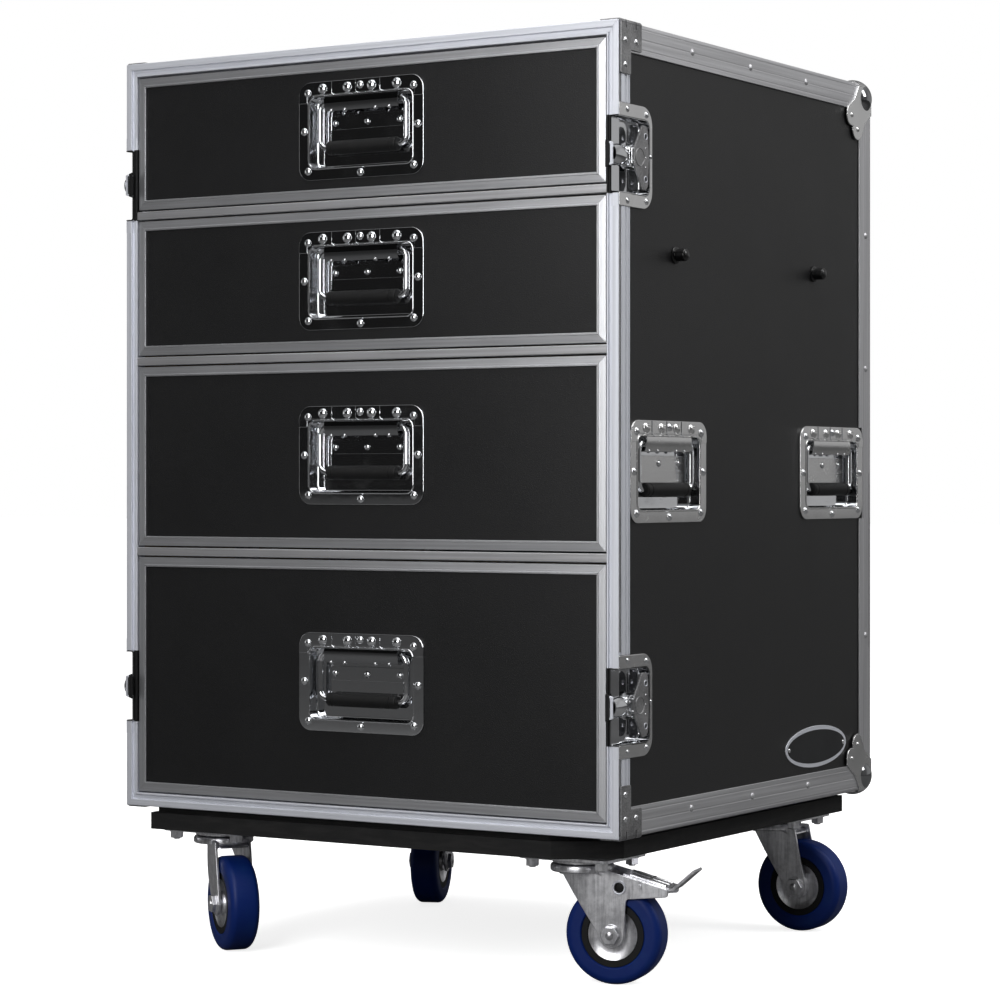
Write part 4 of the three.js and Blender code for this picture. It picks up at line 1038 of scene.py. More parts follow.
def drawer_span(name):
    """A drawer's lower and upper edge above the case's bottom."""
    low, high = box_of(f"{name}_trim")
    return low[2] - rim_low[2], high[2] - rim_low[2]


def divider(top):
    low = top - RAIL_HEIGHT
    chamfer = RAIL_CHAMFER
    corners = [
        (LIP_BACK, low), (LIP_BACK, top), (RAIL_FRONT + chamfer, top), (RAIL_FRONT, top - chamfer),
        (RAIL_FRONT, low + chamfer), (RAIL_FRONT + chamfer, low),
    ]
    reach = HALF - RIM - PANEL_GAP / 2
    return member(rounded(corners, RAIL_ROUND, 3), case, -reach, reach)


rail_tops = [drawer_span(name)[0] - DRAWER_GAP for name in DRAWERS[:-1]]
make("divider_rails", "case", "aluminium_edging", *[divider(top) for top in rail_tops],
     replaces=["front_rim"])
print("rails at", np.round(rail_tops, 1))

# %% [markdown]
# A ball corner guards each back corner: a pressed steel ball with three leaves folded over the
# faces. Each leaf ends in two round lobes about its rivets. The ball is a cap of a sphere that
# looks out along the corner's diagonal, and quarter-round strips close the folds.

# %% Ball corners
BALL_RADIUS = 22.0
BALL_CENTRE = 15.8
BALL_REACH = math.radians(97)
LEAF_WALL = 1.5
LEAF_FOLD = 5.0
LEAF_EDGE = 34.0
LEAF_WAIST = (44.5, 19.0)
LEAF_RIVET = (52.6, 37.7)
LEAF_LOBE = 12.0
LEAF_SHOULDER = (59.0, 28.5)
LEAF_STEPS = 12
LEAF_ROUND = 0.5
LEAF_HEAD = (3.0, 1.6)
BALL_STEPS = 20


def lobe(centre, start, end):
    """Points on a round lobe from one angle to another."""
    turn = np.linspace(start, end, LEAF_STEPS)
    return np.array(centre) + LEAF_LOBE * arm(turn)


def leaf_outline():
    """A leaf in (along, across) from the case's corner, the same on both sides of its diagonal."""
    along, across = LEAF_RIVET
    shoulder = math.atan2(LEAF_SHOULDER[1] - across, LEAF_SHOULDER[0] - along)
    off = (along - across) / math.sqrt(2)
    cusp = math.pi * 3 / 4 - math.acos(off / LEAF_LOBE)
    fold = LEAF_FOLD - LEAF_WALL
    first = lobe((along, across), shoulder, cusp)
    second = lobe((across, along), math.pi / 2 - cusp, math.pi / 2 - shoulder)
    return np.concatenate([
        [(BALL_INSET, fold), (LEAF_EDGE, fold), LEAF_WAIST], first, second[1:],
        [LEAF_WAIST[::-1], (fold, LEAF_EDGE), (fold, BALL_INSET), (BALL_INSET, BALL_INSET)],
    ])


def fold_strip(inner, outer, count):
    """A bend in (v, w): a quarter ring about the point (inner, inner), between its two radii."""
    turn = quarter(count)
    return np.concatenate([inner - outer * arm(turn), inner - inner * arm(turn[::-1])])


def ball_corner(side, level):
    inwards = [RIGHT * -side, -BACK, UP * -level]
    corner = case.put([side * HALF, DEPTH, edge_height(level)])
    sheet = plate(leaf_outline(), (), 0.0, LEAF_WALL, LEAF_ROUND, "satin_steel")
    head = dome(*LEAF_HEAD, "satin_steel")
    strip = fold_strip(LEAF_FOLD - LEAF_WALL, LEAF_FOLD, 7)
    pieces = []
    for k in range(3):
        along, across, into = inwards[k], inwards[(k + 1) % 3], inwards[(k + 2) % 3]
        face = Place(corner, along, across, -into)
        pieces.append(sheet.at(face))
        pieces += [head.at(face.moved(*spot, LEAF_WALL)) for spot in (LEAF_RIVET, LEAF_RIVET[::-1])]
        edge = Place(corner, along, across, into)
        pieces.append(member(strip, edge, BALL_INSET, LEAF_EDGE, paint="satin_steel"))
    diagonal = -unit(np.sum(inwards, 0))
    first = unit(np.cross(diagonal, UP))
    centre = corner + BALL_CENTRE * np.sum(inwards, 0)
    turn = np.linspace(0, BALL_REACH, BALL_STEPS)
    cap = np.column_stack([BALL_RADIUS * np.sin(turn), BALL_RADIUS * np.cos(turn)])
    cap = np.concatenate([cap, [[0, cap[-1, 1]]]])
    ball_place = Place(centre, first, np.cross(diagonal, first), diagonal)
    # The ball takes the darker copy of chrome: a painted dark reflection.
    return pieces, lathe(cap, 40, "dark_chrome").at(ball_place)


for side_name, side in SIDES.items():
    for level_name, level in LEVELS.items():
        leaves, ball = ball_corner(side, level)
        name = f"{side_name}_{level_name}_ball"
        make(f"{name}_leaves", "case", "aluminium_edging", *leaves, replaces=["edge_frame"])
        make(name, "case", "aluminium_edging", ball, replaces=["edge_frame"], crease=50.0)
print("four ball corners with three leaves each")

# %% [markdown]
# A stepped brace is folded over each front corner and riveted to the rim. Two slits let the
# metal bend, so the fold is three short strips.

# %% Front corner braces
BRACE_WALL = 1.2
BRACE_FRONT = 3.0
BRACE_LENGTH = 40.0
BRACE_HEIGHT = 28.0
BRACE_LEG = (19.0, 52.0)
BRACE_FLAP = 21.0
BRACE_FOLD = 2.0
SLIT = (1.6, 7.0)
SLIT_PLACES = [9.0, 28.0]
BRACE_RIVETS = [(11.0, 19.0), (32.0, 19.0), (11.0, 43.0)]
BRACE_HEAD = (3.3, 1.4)
BRACE_TOP = BRACE_WALL + PANEL_GAP
BRACE_ROUND = 0.4
BRACE_RADII = [1.5, 0.6, 1.5, 1.0]
FLAP_CORNER = 1.0


def brace_outline():
    """The side plate in (back, down from the fold), with a notch for each slit."""
    back = BRACE_FRONT + BRACE_LENGTH
    leg_back, leg_down = BRACE_FRONT + BRACE_LEG[0], BRACE_LEG[1]
    notches = []
    for place in SLIT_PLACES:
        start = BRACE_FRONT + place
        notches += [(start, BRACE_FOLD), (start, SLIT[1]), (start + SLIT[0], SLIT[1]),
                    (start + SLIT[0], BRACE_FOLD)]
    corners = [(BRACE_FRONT, BRACE_FOLD), *notches, (back, BRACE_FOLD), (back, BRACE_HEIGHT),
               (leg_back, BRACE_HEIGHT), (leg_back, leg_down), (BRACE_FRONT, leg_down)]
    return rounded(corners, [SHARP] * (len(corners) - len(BRACE_RADII)) + BRACE_RADII, 3)


def brace(side, level):
    """The side plate with its rivets, the flap on the top or the bottom, and the strips of the fold."""
    corner = case.put([side * HALF, 0, edge_height(level)])
    down = UP * -level
    face = Place(corner, BACK, down, RIGHT * side)
    over = Place(corner, BACK, RIGHT * -side, UP * level)
    edge = Place(corner, BACK, RIGHT * -side, down)
    flap_middle = (BRACE_FRONT + BRACE_LENGTH / 2, BRACE_FOLD + BRACE_FLAP / 2)
    flap = rectangle(BRACE_LENGTH, BRACE_FLAP, FLAP_CORNER, flap_middle)
    head = dome(*BRACE_HEAD, "chrome")
    pieces = [plate(brace_outline(), (), 0.0, BRACE_TOP, BRACE_ROUND, "dull_steel").at(face)]
    pieces += [head.at(face.moved(*spot, BRACE_TOP)) for spot in BRACE_RIVETS]
    pieces.append(plate(flap, (), 0.0, BRACE_TOP, BRACE_ROUND, "dull_steel").at(over))
    fold = fold_strip(BRACE_FOLD, BRACE_TOP + BRACE_FOLD, 6)
    slits = [stop for place in SLIT_PLACES for stop in (place, place + SLIT[0])]
    stops = [0.0, *slits, BRACE_LENGTH]
    pieces += [member(fold, edge, BRACE_FRONT + start, BRACE_FRONT + end, paint="dull_steel")
               for start, end in zip(stops[::2], stops[1::2])]
    return pieces


braces = [piece for side in SIDES.values() for level in LEVELS.values() for piece in brace(side, level)]
make("front_corner_braces", "case", "aluminium_edging", *braces, replaces=["edge_frame"])
print("braces in", len(braces), "parts")

# %% [markdown]
# A drawer's front has aluminium trim round it: four mitred lengths with a small bead on the inner
# edge. A zinc runner on each side carries the drawer.

# %% Drawer trim and runners
TRIM_SET_BACK = 1.4
TRIM_WIDTH = 10.3
TRIM_WALL = 1.6
BEAD = (8.2, 9.9, 0.8)
TRIM_SLOPE = 0.7
TRIM_RADII = [0.7, 0.3, 0.3, 0.5, 0.2, 0.2, 0.5, 0.2, 0.2]
TRIM_PAINT = "bright_aluminium"
FRONT_FACE = TRIM_SET_BACK + TRIM_WALL + PANEL_GAP
FRONT_BACK = FRONT_FACE + PANEL_WALL
SLIDE_WALL = 1.5
SLIDE_ROOM = 13.0
SLIDE_ROUND = 0.4
INNER_SLIDE = 32.0


def trim_section():
    start, end, rise = BEAD
    back = FRONT_BACK - TRIM_SET_BACK
    corners = [(0, TRIM_SLOPE), (start - rise / 2, 0), (start, -rise), (end, -rise), (TRIM_WIDTH, 0),
               (TRIM_WIDTH, TRIM_WALL), (TRIM_WALL, TRIM_WALL), (TRIM_WALL, back), (0, back)]
    return rounded(corners, TRIM_RADII, 3) + np.array([0.0, TRIM_SET_BACK])


def mitred_frame(section, reach, low, high):
    """Four lengths round a rectangle on the front, each with a hair of air at its mitres."""
    width = reach * 2
    height = high - low
    runs = [(-reach, high, RIGHT, -UP, width), (-reach, low, RIGHT, UP, width),
            (-reach, low, UP, RIGHT, height), (reach, low, UP, -RIGHT, height)]
    lengths = []
    for x, z, along, inwards, length in runs:
        place = Place(case.put([x, 0, z]), along, inwards, BACK)
        lengths.append(member(section, place, MITRE_GAP, length - MITRE_GAP, (1, 1), TRIM_PAINT))
    return lengths


def runner(side, middle, batten, front, back):
    """The drawer's member of its slide: a channel whose web lies against the box."""
    half = INNER_SLIDE / 2
    near = SLIDE_WALL * 2
    inner = half - SLIDE_WALL
    web = SLIDE_ROOM - SLIDE_WALL
    section = rounded([
        (near, -half), (SLIDE_ROOM, -half), (SLIDE_ROOM, half), (near, half), (near, inner),
        (web, inner), (web, -inner), (near, -inner),
    ], SLIDE_ROUND, 2)
    place = Place(case.put([side * batten, 0, middle]), BACK, RIGHT * -side, UP)
    return member(section, place, front, back, paint="zinc")


print("trim", TRIM_WIDTH, "wide with a bead of", round(BEAD[1] - BEAD[0], 1))

# %% [markdown]
# Behind the trim a drawer has a laminate front, cut out for its handle, and an open plywood box.

# %% Drawers
FRONT_INSET = TRIM_WALL + PANEL_GAP
BATTEN_WALL = 3.0
BATTEN = HALF - SKIN - PANEL_WALL - PANEL_GAP - BATTEN_WALL
BOX_REACH = BATTEN - SLIDE_ROOM
BOX_WALL = 9.0
BOX_FLOOR = 6.0
BOX_RISE = 6.0
BOX_DROP = 12.0
BOX_ROUND = 1.0
SLIDE_DROP = 33.0


def drawer_front(reach, height):
    """The sheet inside the trim, seen from in front."""
    outline = rectangle((reach - FRONT_INSET) * 2, height - FRONT_INSET * 2, SHARP, steps=1)
    holes = [handle_hole((0, -TUB_DROP))]
    return plate(outline, holes, -FRONT_BACK, -FRONT_FACE, PANEL_ROUND, "laminate")


def drawer_box(low, high, back):
    """Two sides and a back in one outline, and the floor between them."""
    inner = BOX_REACH - BOX_WALL
    end = back - BOX_WALL
    bottom = low + BOX_RISE
    walls = [(-BOX_REACH, FRONT_BACK), (-inner, FRONT_BACK), (-inner, end), (inner, end),
             (inner, FRONT_BACK), (BOX_REACH, FRONT_BACK), (BOX_REACH, back), (-BOX_REACH, back)]
    floor = [(-inner, FRONT_BACK), (inner, FRONT_BACK), (inner, end), (-inner, end)]
    return [plate(rounded(walls, SHARP, 1), (), bottom, high - BOX_DROP, BOX_ROUND, "plywood"),
            plate(rounded(floor, SHARP, 1), (), bottom, bottom + BOX_FLOOR, PANEL_ROUND, "plywood")]


def drawer(name):
    low, high = drawer_span(name)
    trim_low, trim_high = box_of(f"{name}_trim")
    reach = (trim_high[0] - trim_low[0]) / 2
    back = box_of(f"{name}_box")[1][1] - rim_low[1]
    middle = (low + high) / 2
    make(f"{name}_trim_lengths", name, "aluminium_edging",
         *mitred_frame(trim_section(), reach, low, high), replaces=[f"{name}_trim"])
    face = Place(case.put([0, 0, middle]), RIGHT, UP, -BACK)
    make(f"{name}_front", name, "black_laminate", drawer_front(reach, high - low).at(face),
         replaces=[f"{name}_box"])
    make(f"{name}_plywood", name, "drawer_plywood",
         *[part.at(case) for part in drawer_box(low, high, back)], replaces=[f"{name}_box"])
    runners = [runner(side, high - SLIDE_DROP, BATTEN, FRONT_BACK + PANEL_GAP, back - PANEL_GAP)
               for side in SIDES.values()]
    make(f"{name}_runners", name, "zinc_steel", *runners, replaces=[f"{name}_box"])


for name in DRAWERS:
    drawer(name)
print("drawers", [round(drawer_span(name)[1] - drawer_span(name)[0], 1) for name in DRAWERS])

# %% [markdown]
# A recessed handle is pressed from one sheet: a flange with a rounded lip, and a tub behind it.
# Its surface is a stack of rounded rectangles, from the back of the tub over the flange's edge
# and down into the tub again. A second sheet covers the upper flange. Each ring below is a pair:
# how far it stands out from its rectangle, and how high it lies.

# %% Handle dishes
DISH = (154.6, 101.3, 14.0)
FLANGE_WALL = 1.6
TUB_DEPTH = 11.4
BACK_ROUND = 1.0
BACK_RINGS = [(TUB_SHEET - BACK_ROUND, -TUB_DEPTH - TUB_SHEET), (TUB_SHEET, -TUB_DEPTH), (TUB_SHEET, 0.0)]
FLANGE_RINGS = [(0.0, 0.0), (0.0, 1.05), (-0.15, 1.42), (-0.55, FLANGE_WALL)]
LIP_RINGS = [(2.3, 1.6), (1.9, 2.15), (1.3, 2.4), (0.6, 2.3), (0.1, 1.7), (0.0, 1.0)]
WELL_RINGS = [(0.0, -9.4), (-0.3, -10.4), (-1.0, -11.1), (-2.0, -TUB_DEPTH)]
COVER_START = 29.0
COVER_WALL = 0.5
COVER_TOP = FLANGE_WALL + COVER_WALL
COVER_EDGE = 0.3
COVER_NOTCH = 3.0
COVER_LIP = 2.6
COVER_ROUND = 0.3
COVER_RADII = [0.3, 0.3, 2.0, 2.0, 0.3, 0.3, DISH[2], DISH[2]]


def dish_rings(rings, drop=0.0, size=HANDLE_TUB):
    width, height, corner = size
    return [lift(rectangle(width + out * 2, height + out * 2, corner + out, (0, -drop), 6), rise)
            for out, rise in rings]


def dish_shell(paint):
    """From the tub's back over the flange's edge and the lip to the tub's floor."""
    lip = dish_rings(LIP_RINGS, TUB_DROP)
    rim = np.stack(dish_rings(BACK_RINGS, TUB_DROP) + dish_rings(FLANGE_RINGS, size=DISH) + lip)
    well = np.stack(lip[-1:] + dish_rings(WELL_RINGS, TUB_DROP))
    return join(
        grid(rim, (False, True), paint),
        grid(well, (False, True), "chrome"),
        fill([rim[0][:, :2]], rim[0], paint),
        fill([well[-1][:, :2]], well[-1], "chrome"),
    )


def cover_plate(paint):
    """The second sheet over the upper flange, which hides the bail's springs."""
    side = DISH[0] / 2 - COVER_EDGE
    top = DISH[1] / 2 - COVER_EDGE
    notch = HANDLE_TUB[0] / 2 + COVER_NOTCH
    lip = HANDLE_TUB[1] / 2 - TUB_DROP + COVER_LIP
    corners = [(-side, COVER_START), (-notch, COVER_START), (-notch, lip), (notch, lip),
               (notch, COVER_START), (side, COVER_START), (side, top), (-side, top)]
    return plate(rounded(corners, COVER_RADII, 6), (), FLANGE_WALL - LAP, COVER_TOP, COVER_ROUND, paint)


print("a handle's flange is", DISH[0], "by", DISH[1])

# %% [markdown]
# The cover has four pressed bosses, each with two dots above and a bar below, and thin hooked
# cuts between them. A doubler with three rivets and a bare plate lie on the tub's floor. Two
# ribbed barrels hold the bail's ends, under a hood with four small lugs.

# %% Handle details
HANDLE_RIVETS = [(-65.6, 39.4), (65.6, 39.4), (-65.6, -41.0), (65.6, -41.0), (-70.6, 0.0),
                 (70.6, 0.0), (0.0, -45.0), (0.0, 44.2)]
HANDLE_HEAD = (4.1, 2.2)
BOSS_PLACES = [-47.0, -16.0, 14.0, 45.0]
BOSS_RISE = 43.0
BOSS = (5.4, 2.8)
DOT = (1.1, 1.3)
DOT_SHIFTS = [-1.6, 1.6]
DOT_RISE = 2.4
DOT_LIFT = 2.0
TICK_HALF = 2.6
TICK_RADIUS = 1.1
TICK_DROP = 6.4
CUT_PLACES = [-36.0, -6.0, 24.0]
CUT_LINE = [(0.0, 7.0), (0.0, -5.0), (3.4, -7.5), (6.6, -8.2)]
CUT_BEND = 2.2
CUT_RADIUS = 0.6
DOUBLER = (104.0, 34.0, 1.5)
DOUBLER_MIDDLE = (0.0, -1.0)
DOUBLER_WALL = 0.6
DOUBLER_ROUND = 0.25
DOUBLER_HEAD = (3.5, 1.9)
DOUBLER_RIVETS = [(-40.0, 8.3), (0.0, 8.3), (40.0, 8.3)]
BARE_PLATE = (90.0, 17.0, 1.0)
BARE_MIDDLE = (0.0, -6.9)
BARE_TOP = 1.0
BARE_ROUND = 0.2
BAIL_RISE = 29.5
BAIL_SINK = 3.6
BARREL_BORE = 3.5
BARREL_RADIUS = 5.2
BARREL_COLLAR = 4.4
BARREL_SPAN = (20.0, 44.0)
BARREL_LEAD = 1.0
BARREL_RIB = 0.5
WEB = (24.0, 5.2, 0.6)
WEB_MIDDLE = (32.0, 32.2)
WEB_HALF = 3.0
WEB_ROUND = 0.8
HOOD_LINE = [(35.0, 1.5), (31.5, 1.95), (27.0, 1.75), (23.0, 0.9), (20.0, -0.6)]
HOOD_WALL = 0.9
HOOD_REACH = 45.5
LUG_PLACES = [-38.0, -21.0, 17.0, 34.0]
LUG = (2.3, 2.0)
LUG_RISE = 20.4
LUG_DEPTH = 1.0
LUG_SINK = 0.8


def cover_details(paint):
    boss = dome(*BOSS, paint, 16, 5)
    dot = dome(*DOT, paint, 8, 3)
    tick = rail(circle(TICK_RADIUS, 8), [(-TICK_HALF, 0.0, 0.0), (TICK_HALF, 0.0, 0.0)], paint=paint)
    cut = lift(route(CUT_LINE, CUT_BEND, 4), 0.0)
    pieces = [boss.at(FLAT.moved(u, BOSS_RISE, COVER_TOP)) for u in BOSS_PLACES]
    pieces += [dot.at(FLAT.moved(u + shift, BOSS_RISE + DOT_RISE, COVER_TOP + DOT_LIFT))
               for u in BOSS_PLACES for shift in DOT_SHIFTS]
    pieces += [tick.at(FLAT.moved(u, BOSS_RISE - TICK_DROP, COVER_TOP)) for u in BOSS_PLACES]
    pieces += [rail(circle(CUT_RADIUS, 6), cut + np.array([u, BOSS_RISE, COVER_TOP])) for u in CUT_PLACES]
    return pieces


def floor_plates(paint):
    low = -TUB_DEPTH
    top = low + DOUBLER_WALL
    doubler = plate(rectangle(*DOUBLER, DOUBLER_MIDDLE), (), low - LAP, top, DOUBLER_ROUND, paint)
    bare = plate(rectangle(*BARE_PLATE, BARE_MIDDLE), (), top - LAP, low + BARE_TOP, BARE_ROUND, paint)
    head = dome(*DOUBLER_HEAD, "chrome", 14, 5)
    return [doubler, bare] + [head.at(FLAT.moved(*spot, top)) for spot in DOUBLER_RIVETS]


def barrels(paint):
    """Two rolled barrels with ribs, each joined to the tub's top wall by a web."""
    start, end = BARREL_SPAN
    stops = np.linspace(start + BARREL_LEAD, end - BARREL_LEAD, 9)
    ribs = [(BARREL_RADIUS - (0.0 if k % 2 else BARREL_RIB), stop) for k, stop in enumerate(stops)]
    profile = [(BARREL_BORE, start), (BARREL_COLLAR, start), *ribs,
               (BARREL_COLLAR, end), (BARREL_BORE, end)]
    shape = lathe(profile, 20, paint, ring=True)
    web = plate(rectangle(*WEB, WEB_MIDDLE), (), -BAIL_SINK - WEB_HALF, -BAIL_SINK + WEB_HALF,
                WEB_ROUND, paint)
    pieces = []
    for side in SIDES.values():
        pieces.append(shape.at(Place([0, BAIL_RISE, -BAIL_SINK], BACK, UP * side, RIGHT * side)))
        pieces.append(web.at(Place([0, 0, 0], RIGHT * side, BACK, UP)))
    return pieces


def hood(paint):
    """The sheet over the barrels, from the tub's upper lip down, with the lugs below it."""
    outer = np.array(HOOD_LINE)
    inner = (outer - np.array([0.0, HOOD_WALL]))[::-1]
    sheet = member(np.concatenate([outer, inner]), FLAT, -HOOD_REACH, HOOD_REACH, paint=paint)
    lug = dome(*LUG, "chrome", 10, 3, LUG_SINK)
    return [sheet] + [lug.at(FLAT.moved(u, LUG_RISE, -LUG_DEPTH)) for u in LUG_PLACES]


def handle_dish(paint):
    """A chromed handle's hood takes the darker copy of chrome: painted shade for the dark tub that it
    mirrors.
    """
    head = dome(*HANDLE_HEAD, "chrome", 14, 5)
    rivets = [head.at(FLAT.moved(u, v, COVER_TOP if v > COVER_START else FLANGE_WALL))
              for u, v in HANDLE_RIVETS]
    # The hood of a chromed handle is painted darker: painted shade.
    shade = "dark_chrome" if paint == "chrome" else paint
    return join(dish_shell(paint), cover_plate(paint), *cover_details(paint), *floor_plates(paint),
                *hood(shade), *barrels(paint), *rivets)


print("handle drawn:", len(handle_dish("chrome").faces), "faces")

# %% [markdown]
# The bail is a bent wire that springs back into the tub, with a black rubber grip on its lower
# run. It hangs on the axis that the joint gives, which also says where the whole handle sits.

# %% Handle bails, and all eight handles
BAIL_REACH = 53.5
BAIL_PIN = 26.0
BAIL_BEND = 9.0
BAIL_RADIUS = 3.0
GRIP_DROP = 18.0
GRIP_RADIUS = 7.25
GRIP_REACH = 43.0
GRIP_ROUND = 1.6
GRIP_GROOVE = [(0.0, 36.5), (0.5, 36.0), (0.5, 35.0), (0.0, 34.5)]  # (depth, way from the middle)


def bail():
    low = -GRIP_DROP
    pin = BAIL_REACH - BAIL_PIN
    line = route([(pin, BAIL_RISE), (BAIL_REACH, BAIL_RISE), (BAIL_REACH, low), (-BAIL_REACH, low),
                  (-BAIL_REACH, BAIL_RISE), (-pin, BAIL_RISE)], BAIL_BEND, 8)
    return rail(circle(BAIL_RADIUS, 12), lift(line, -BAIL_SINK))


def grip():
    """A turned sleeve with soft ends and two shallow rings."""
    turn = quarter(5)
    soft = GRIP_RADIUS - GRIP_ROUND + GRIP_ROUND * np.sin(turn)
    end = GRIP_ROUND * (1 - np.cos(turn))
    left = np.column_stack([soft, -GRIP_REACH + end])
    groove = [(GRIP_RADIUS - depth, -way) for depth, way in GRIP_GROOVE]
    half = np.concatenate([[[0.0, -GRIP_REACH]], left, groove])
    return lathe(both_ways(half), 28, "rubber").at(Place([0, -GRIP_DROP, -BAIL_SINK], BACK, UP, RIGHT))


def handle_place(prefix):
    """The handle's own frame, from its bail's joint: u against the axis, v up, w outwards."""
    u = -joint_axis(f"{prefix}_lift")
    w = np.cross(u, UP)
    return Place(joint_at(f"{prefix}_lift"), u, UP, w).moved(0, -BAIL_RISE, BAIL_SINK)


def handle(prefix, body, paint):
    place = handle_place(prefix)
    make(f"{prefix}_pressing", body, "chrome_plate", handle_dish(paint).at(place),
         replaces=[f"{prefix}_dish"])
    make(f"{prefix}_wire", prefix, "chrome_plate", bail().at(place), replaces=[f"{prefix}_bail"])
    make(f"{prefix}_grip", prefix, "chrome_plate", grip().at(place), replaces=[f"{prefix}_bail"])


for name in DRAWERS:
    handle(f"{name}_handle", name, "chrome")
for side_name in SIDES:
    for place_name in ("front", "back"):
        handle(f"{side_name}_{place_name}_handle", "case", "satin_steel")
print("eight handles")

# %% [markdown]
# A butterfly latch pulls the lid shut. Its dish is open towards the front, where a hook reaches
# over the rim. The tub is shallow under the hook and deeper under the wing, so its floor is a
# table of points whose depth depends on how far back they lie.

# %% Latch dishes
LATCH_FRONT = 1.0
LATCH_BACK = 66.5
LATCH_CORNER = 18.0
TUB_CORNER = 8.0
STEP_DEPTH = 8.0
DEEP = 13.0
RAMP = (14.6, 22.0)
TUB_STATIONS = [0.0, *RAMP, 35.0, 45.0]
TUB_TURN = 45.5
TUB_MIDDLE = 48.0
TUB_ROUND = 1.6
BACK_HALF = 12.0
LATCH_ROUND = 0.5
LATCH_RADII = [1.0, LATCH_CORNER, LATCH_CORNER, 1.0, 0.4, TUB_CORNER, TUB_CORNER, 0.4]
LATCH_RIVETS = [(17.0, 44.5), (55.0, 42.5), (17.0, -44.5), (55.0, -42.5)]
LATCH_HEAD = (3.4, 1.6)
SMALL_RIVET = (63.3, 2.0)
SMALL_HEAD = (2.2, 1.0)
STEP = (23.5, 12.6, 0.8)
STEP_MIDDLE = (13.0, 43.6)
STEP_TOP = 0.35
STEP_ROUND = 0.25
DRUM_PLACE = 30.0


def flange_outline():
    half = LATCH_TUB_HEIGHT / 2
    back = LATCH_TUB_BACK
    corners = [
        (LATCH_FRONT, -FLANGE_HALF), (LATCH_BACK, -FLANGE_HALF), (LATCH_BACK, FLANGE_HALF),
        (LATCH_FRONT, FLANGE_HALF), (LATCH_FRONT, half), (back, half), (back, -half), (LATCH_FRONT, -half),
    ]
    return rounded(corners, LATCH_RADII, 8)


def floor_depth(u):
    """Shallow before the ramp, deep behind it, and a straight slope between."""
    share = np.clip((u - RAMP[0]) / (RAMP[1] - RAMP[0]), 0, 1)
    return STEP_DEPTH + share * (DEEP - STEP_DEPTH)


def tub_surface(grown):
    """
    One side of the pressed tub. Each column starts on the flange's inner edge, runs down the wall,
    and then in over the floor to the middle line. Grown by the sheet, it gives the other side.
    """
    half = LATCH_TUB_HEIGHT / 2 + grown
    back = LATCH_TUB_BACK + grown
    leg = np.array([(u, -half) for u in TUB_STATIONS])
    bend = route([(TUB_TURN, -half), (back, -half), (back, 0.0)], TUB_CORNER + grown, 8)[1:-1]
    edge = both_ways(np.concatenate([leg, bend, [(back, -BACK_HALF)]]))
    middle = np.column_stack([np.minimum(edge[:, 0], TUB_MIDDLE), np.zeros(len(edge))])
    depth = floor_depth(edge[:, 0]) + grown
    towards = unit(middle - edge)
    rows = [lift(edge, 0.0)]
    for share in (0.0, 0.3, 0.65, 1.0):
        turn = share * np.pi / 2
        inner = edge + towards * TUB_ROUND * (1 - np.cos(turn))
        rows.append(np.column_stack([inner, -depth + TUB_ROUND * (1 - np.sin(turn))]))
    inner = edge + towards * TUB_ROUND
    for share in (0.3, 0.6, 1.0):
        spot = inner + (middle - inner) * share
        rows.append(np.column_stack([spot, -(floor_depth(spot[:, 0]) + grown)]))
    return np.stack(rows)


def latch_tub(paint):
    inside = tub_surface(0.0)
    outside = tub_surface(TUB_SHEET)
    rim = np.stack([inside[0], outside[0]])
    ends = [np.stack([inside[:, k], outside[:, k]]) for k in (0, -1)]
    return join(*[grid(surface, (False, False), paint) for surface in (inside, outside, rim, *ends)])


def latch_dish():
    """The flange with its rivets, the tub, and a low step at each front corner."""
    paint = "satin_steel"
    flange = plate(flange_outline(), (), -FLANGE_WALL, 0.0, LATCH_ROUND, paint)
    rivets = repeat(dome(*LATCH_HEAD, "chrome"), [FLAT.moved(*spot) for spot in LATCH_RIVETS])
    step = plate(rectangle(*STEP, STEP_MIDDLE), (), -LAP, STEP_TOP, STEP_ROUND, paint)
    mirror = Place([0, 0, 0], RIGHT, -BACK, UP)
    small = dome(*SMALL_HEAD, "chrome").at(FLAT.moved(*SMALL_RIVET))
    return join(flange, latch_tub("chrome"), rivets, step, step.at(mirror), small)


print("latch dish drawn:", len(latch_dish().faces), "faces")

# %% [markdown]
# The drum turns on a spindle and carries a wing on a pin. The wing is a fan of sheet steel with
# two rimmed holes, three dots and a pressed ring.

# %% Drums and wings
PIN_PLACE = 27.0
PIN_SINK = 0.2
DRUM_RADIUS = 11.0
DRUM_TOP = -1.4
DRUM_LOW = -5.6
DRUM_EDGE = 0.6
SCORE = DRUM_TOP - 0.4
DRUM_PROFILE = [
    (0.0, -12.7), (4.0, -12.7), (4.0, DRUM_LOW), (DRUM_RADIUS, DRUM_LOW),
    (DRUM_RADIUS, DRUM_TOP - DRUM_EDGE), (DRUM_RADIUS - DRUM_EDGE, DRUM_TOP),
    (8.2, DRUM_TOP), (7.9, SCORE), (7.3, SCORE), (7.0, DRUM_TOP), (0.0, DRUM_TOP),
]
EYE_PROFILE = [(0.0, 4.4), (2.2, 4.4), (2.4, 4.7), (2.4, 7.2), (2.2, 7.5), (0.0, 7.5)]
WING = {"front": 30.0, "back": 58.6, "narrow": 9.0, "wide": 32.0, "cheek": 13.0, "bulge": 1.5}
WING_WALL = 1.6
WING_LOW = -PIN_SINK - WING_WALL / 2
WING_TOP = -PIN_SINK + WING_WALL / 2
WING_ROUND = 0.35
WING_RADII = [2.0, 4.0, 8.0, 40.0, 8.0, 4.0, 2.0]
WING_HOLES = (52.0, 21.0, 2.5)
HOLE_RIM = [(2.5, -0.3), (3.4, -0.3), (3.3, 0.3), (2.9, 0.5), (2.5, 0.3)]
WING_DOT = (1.1, 0.6)
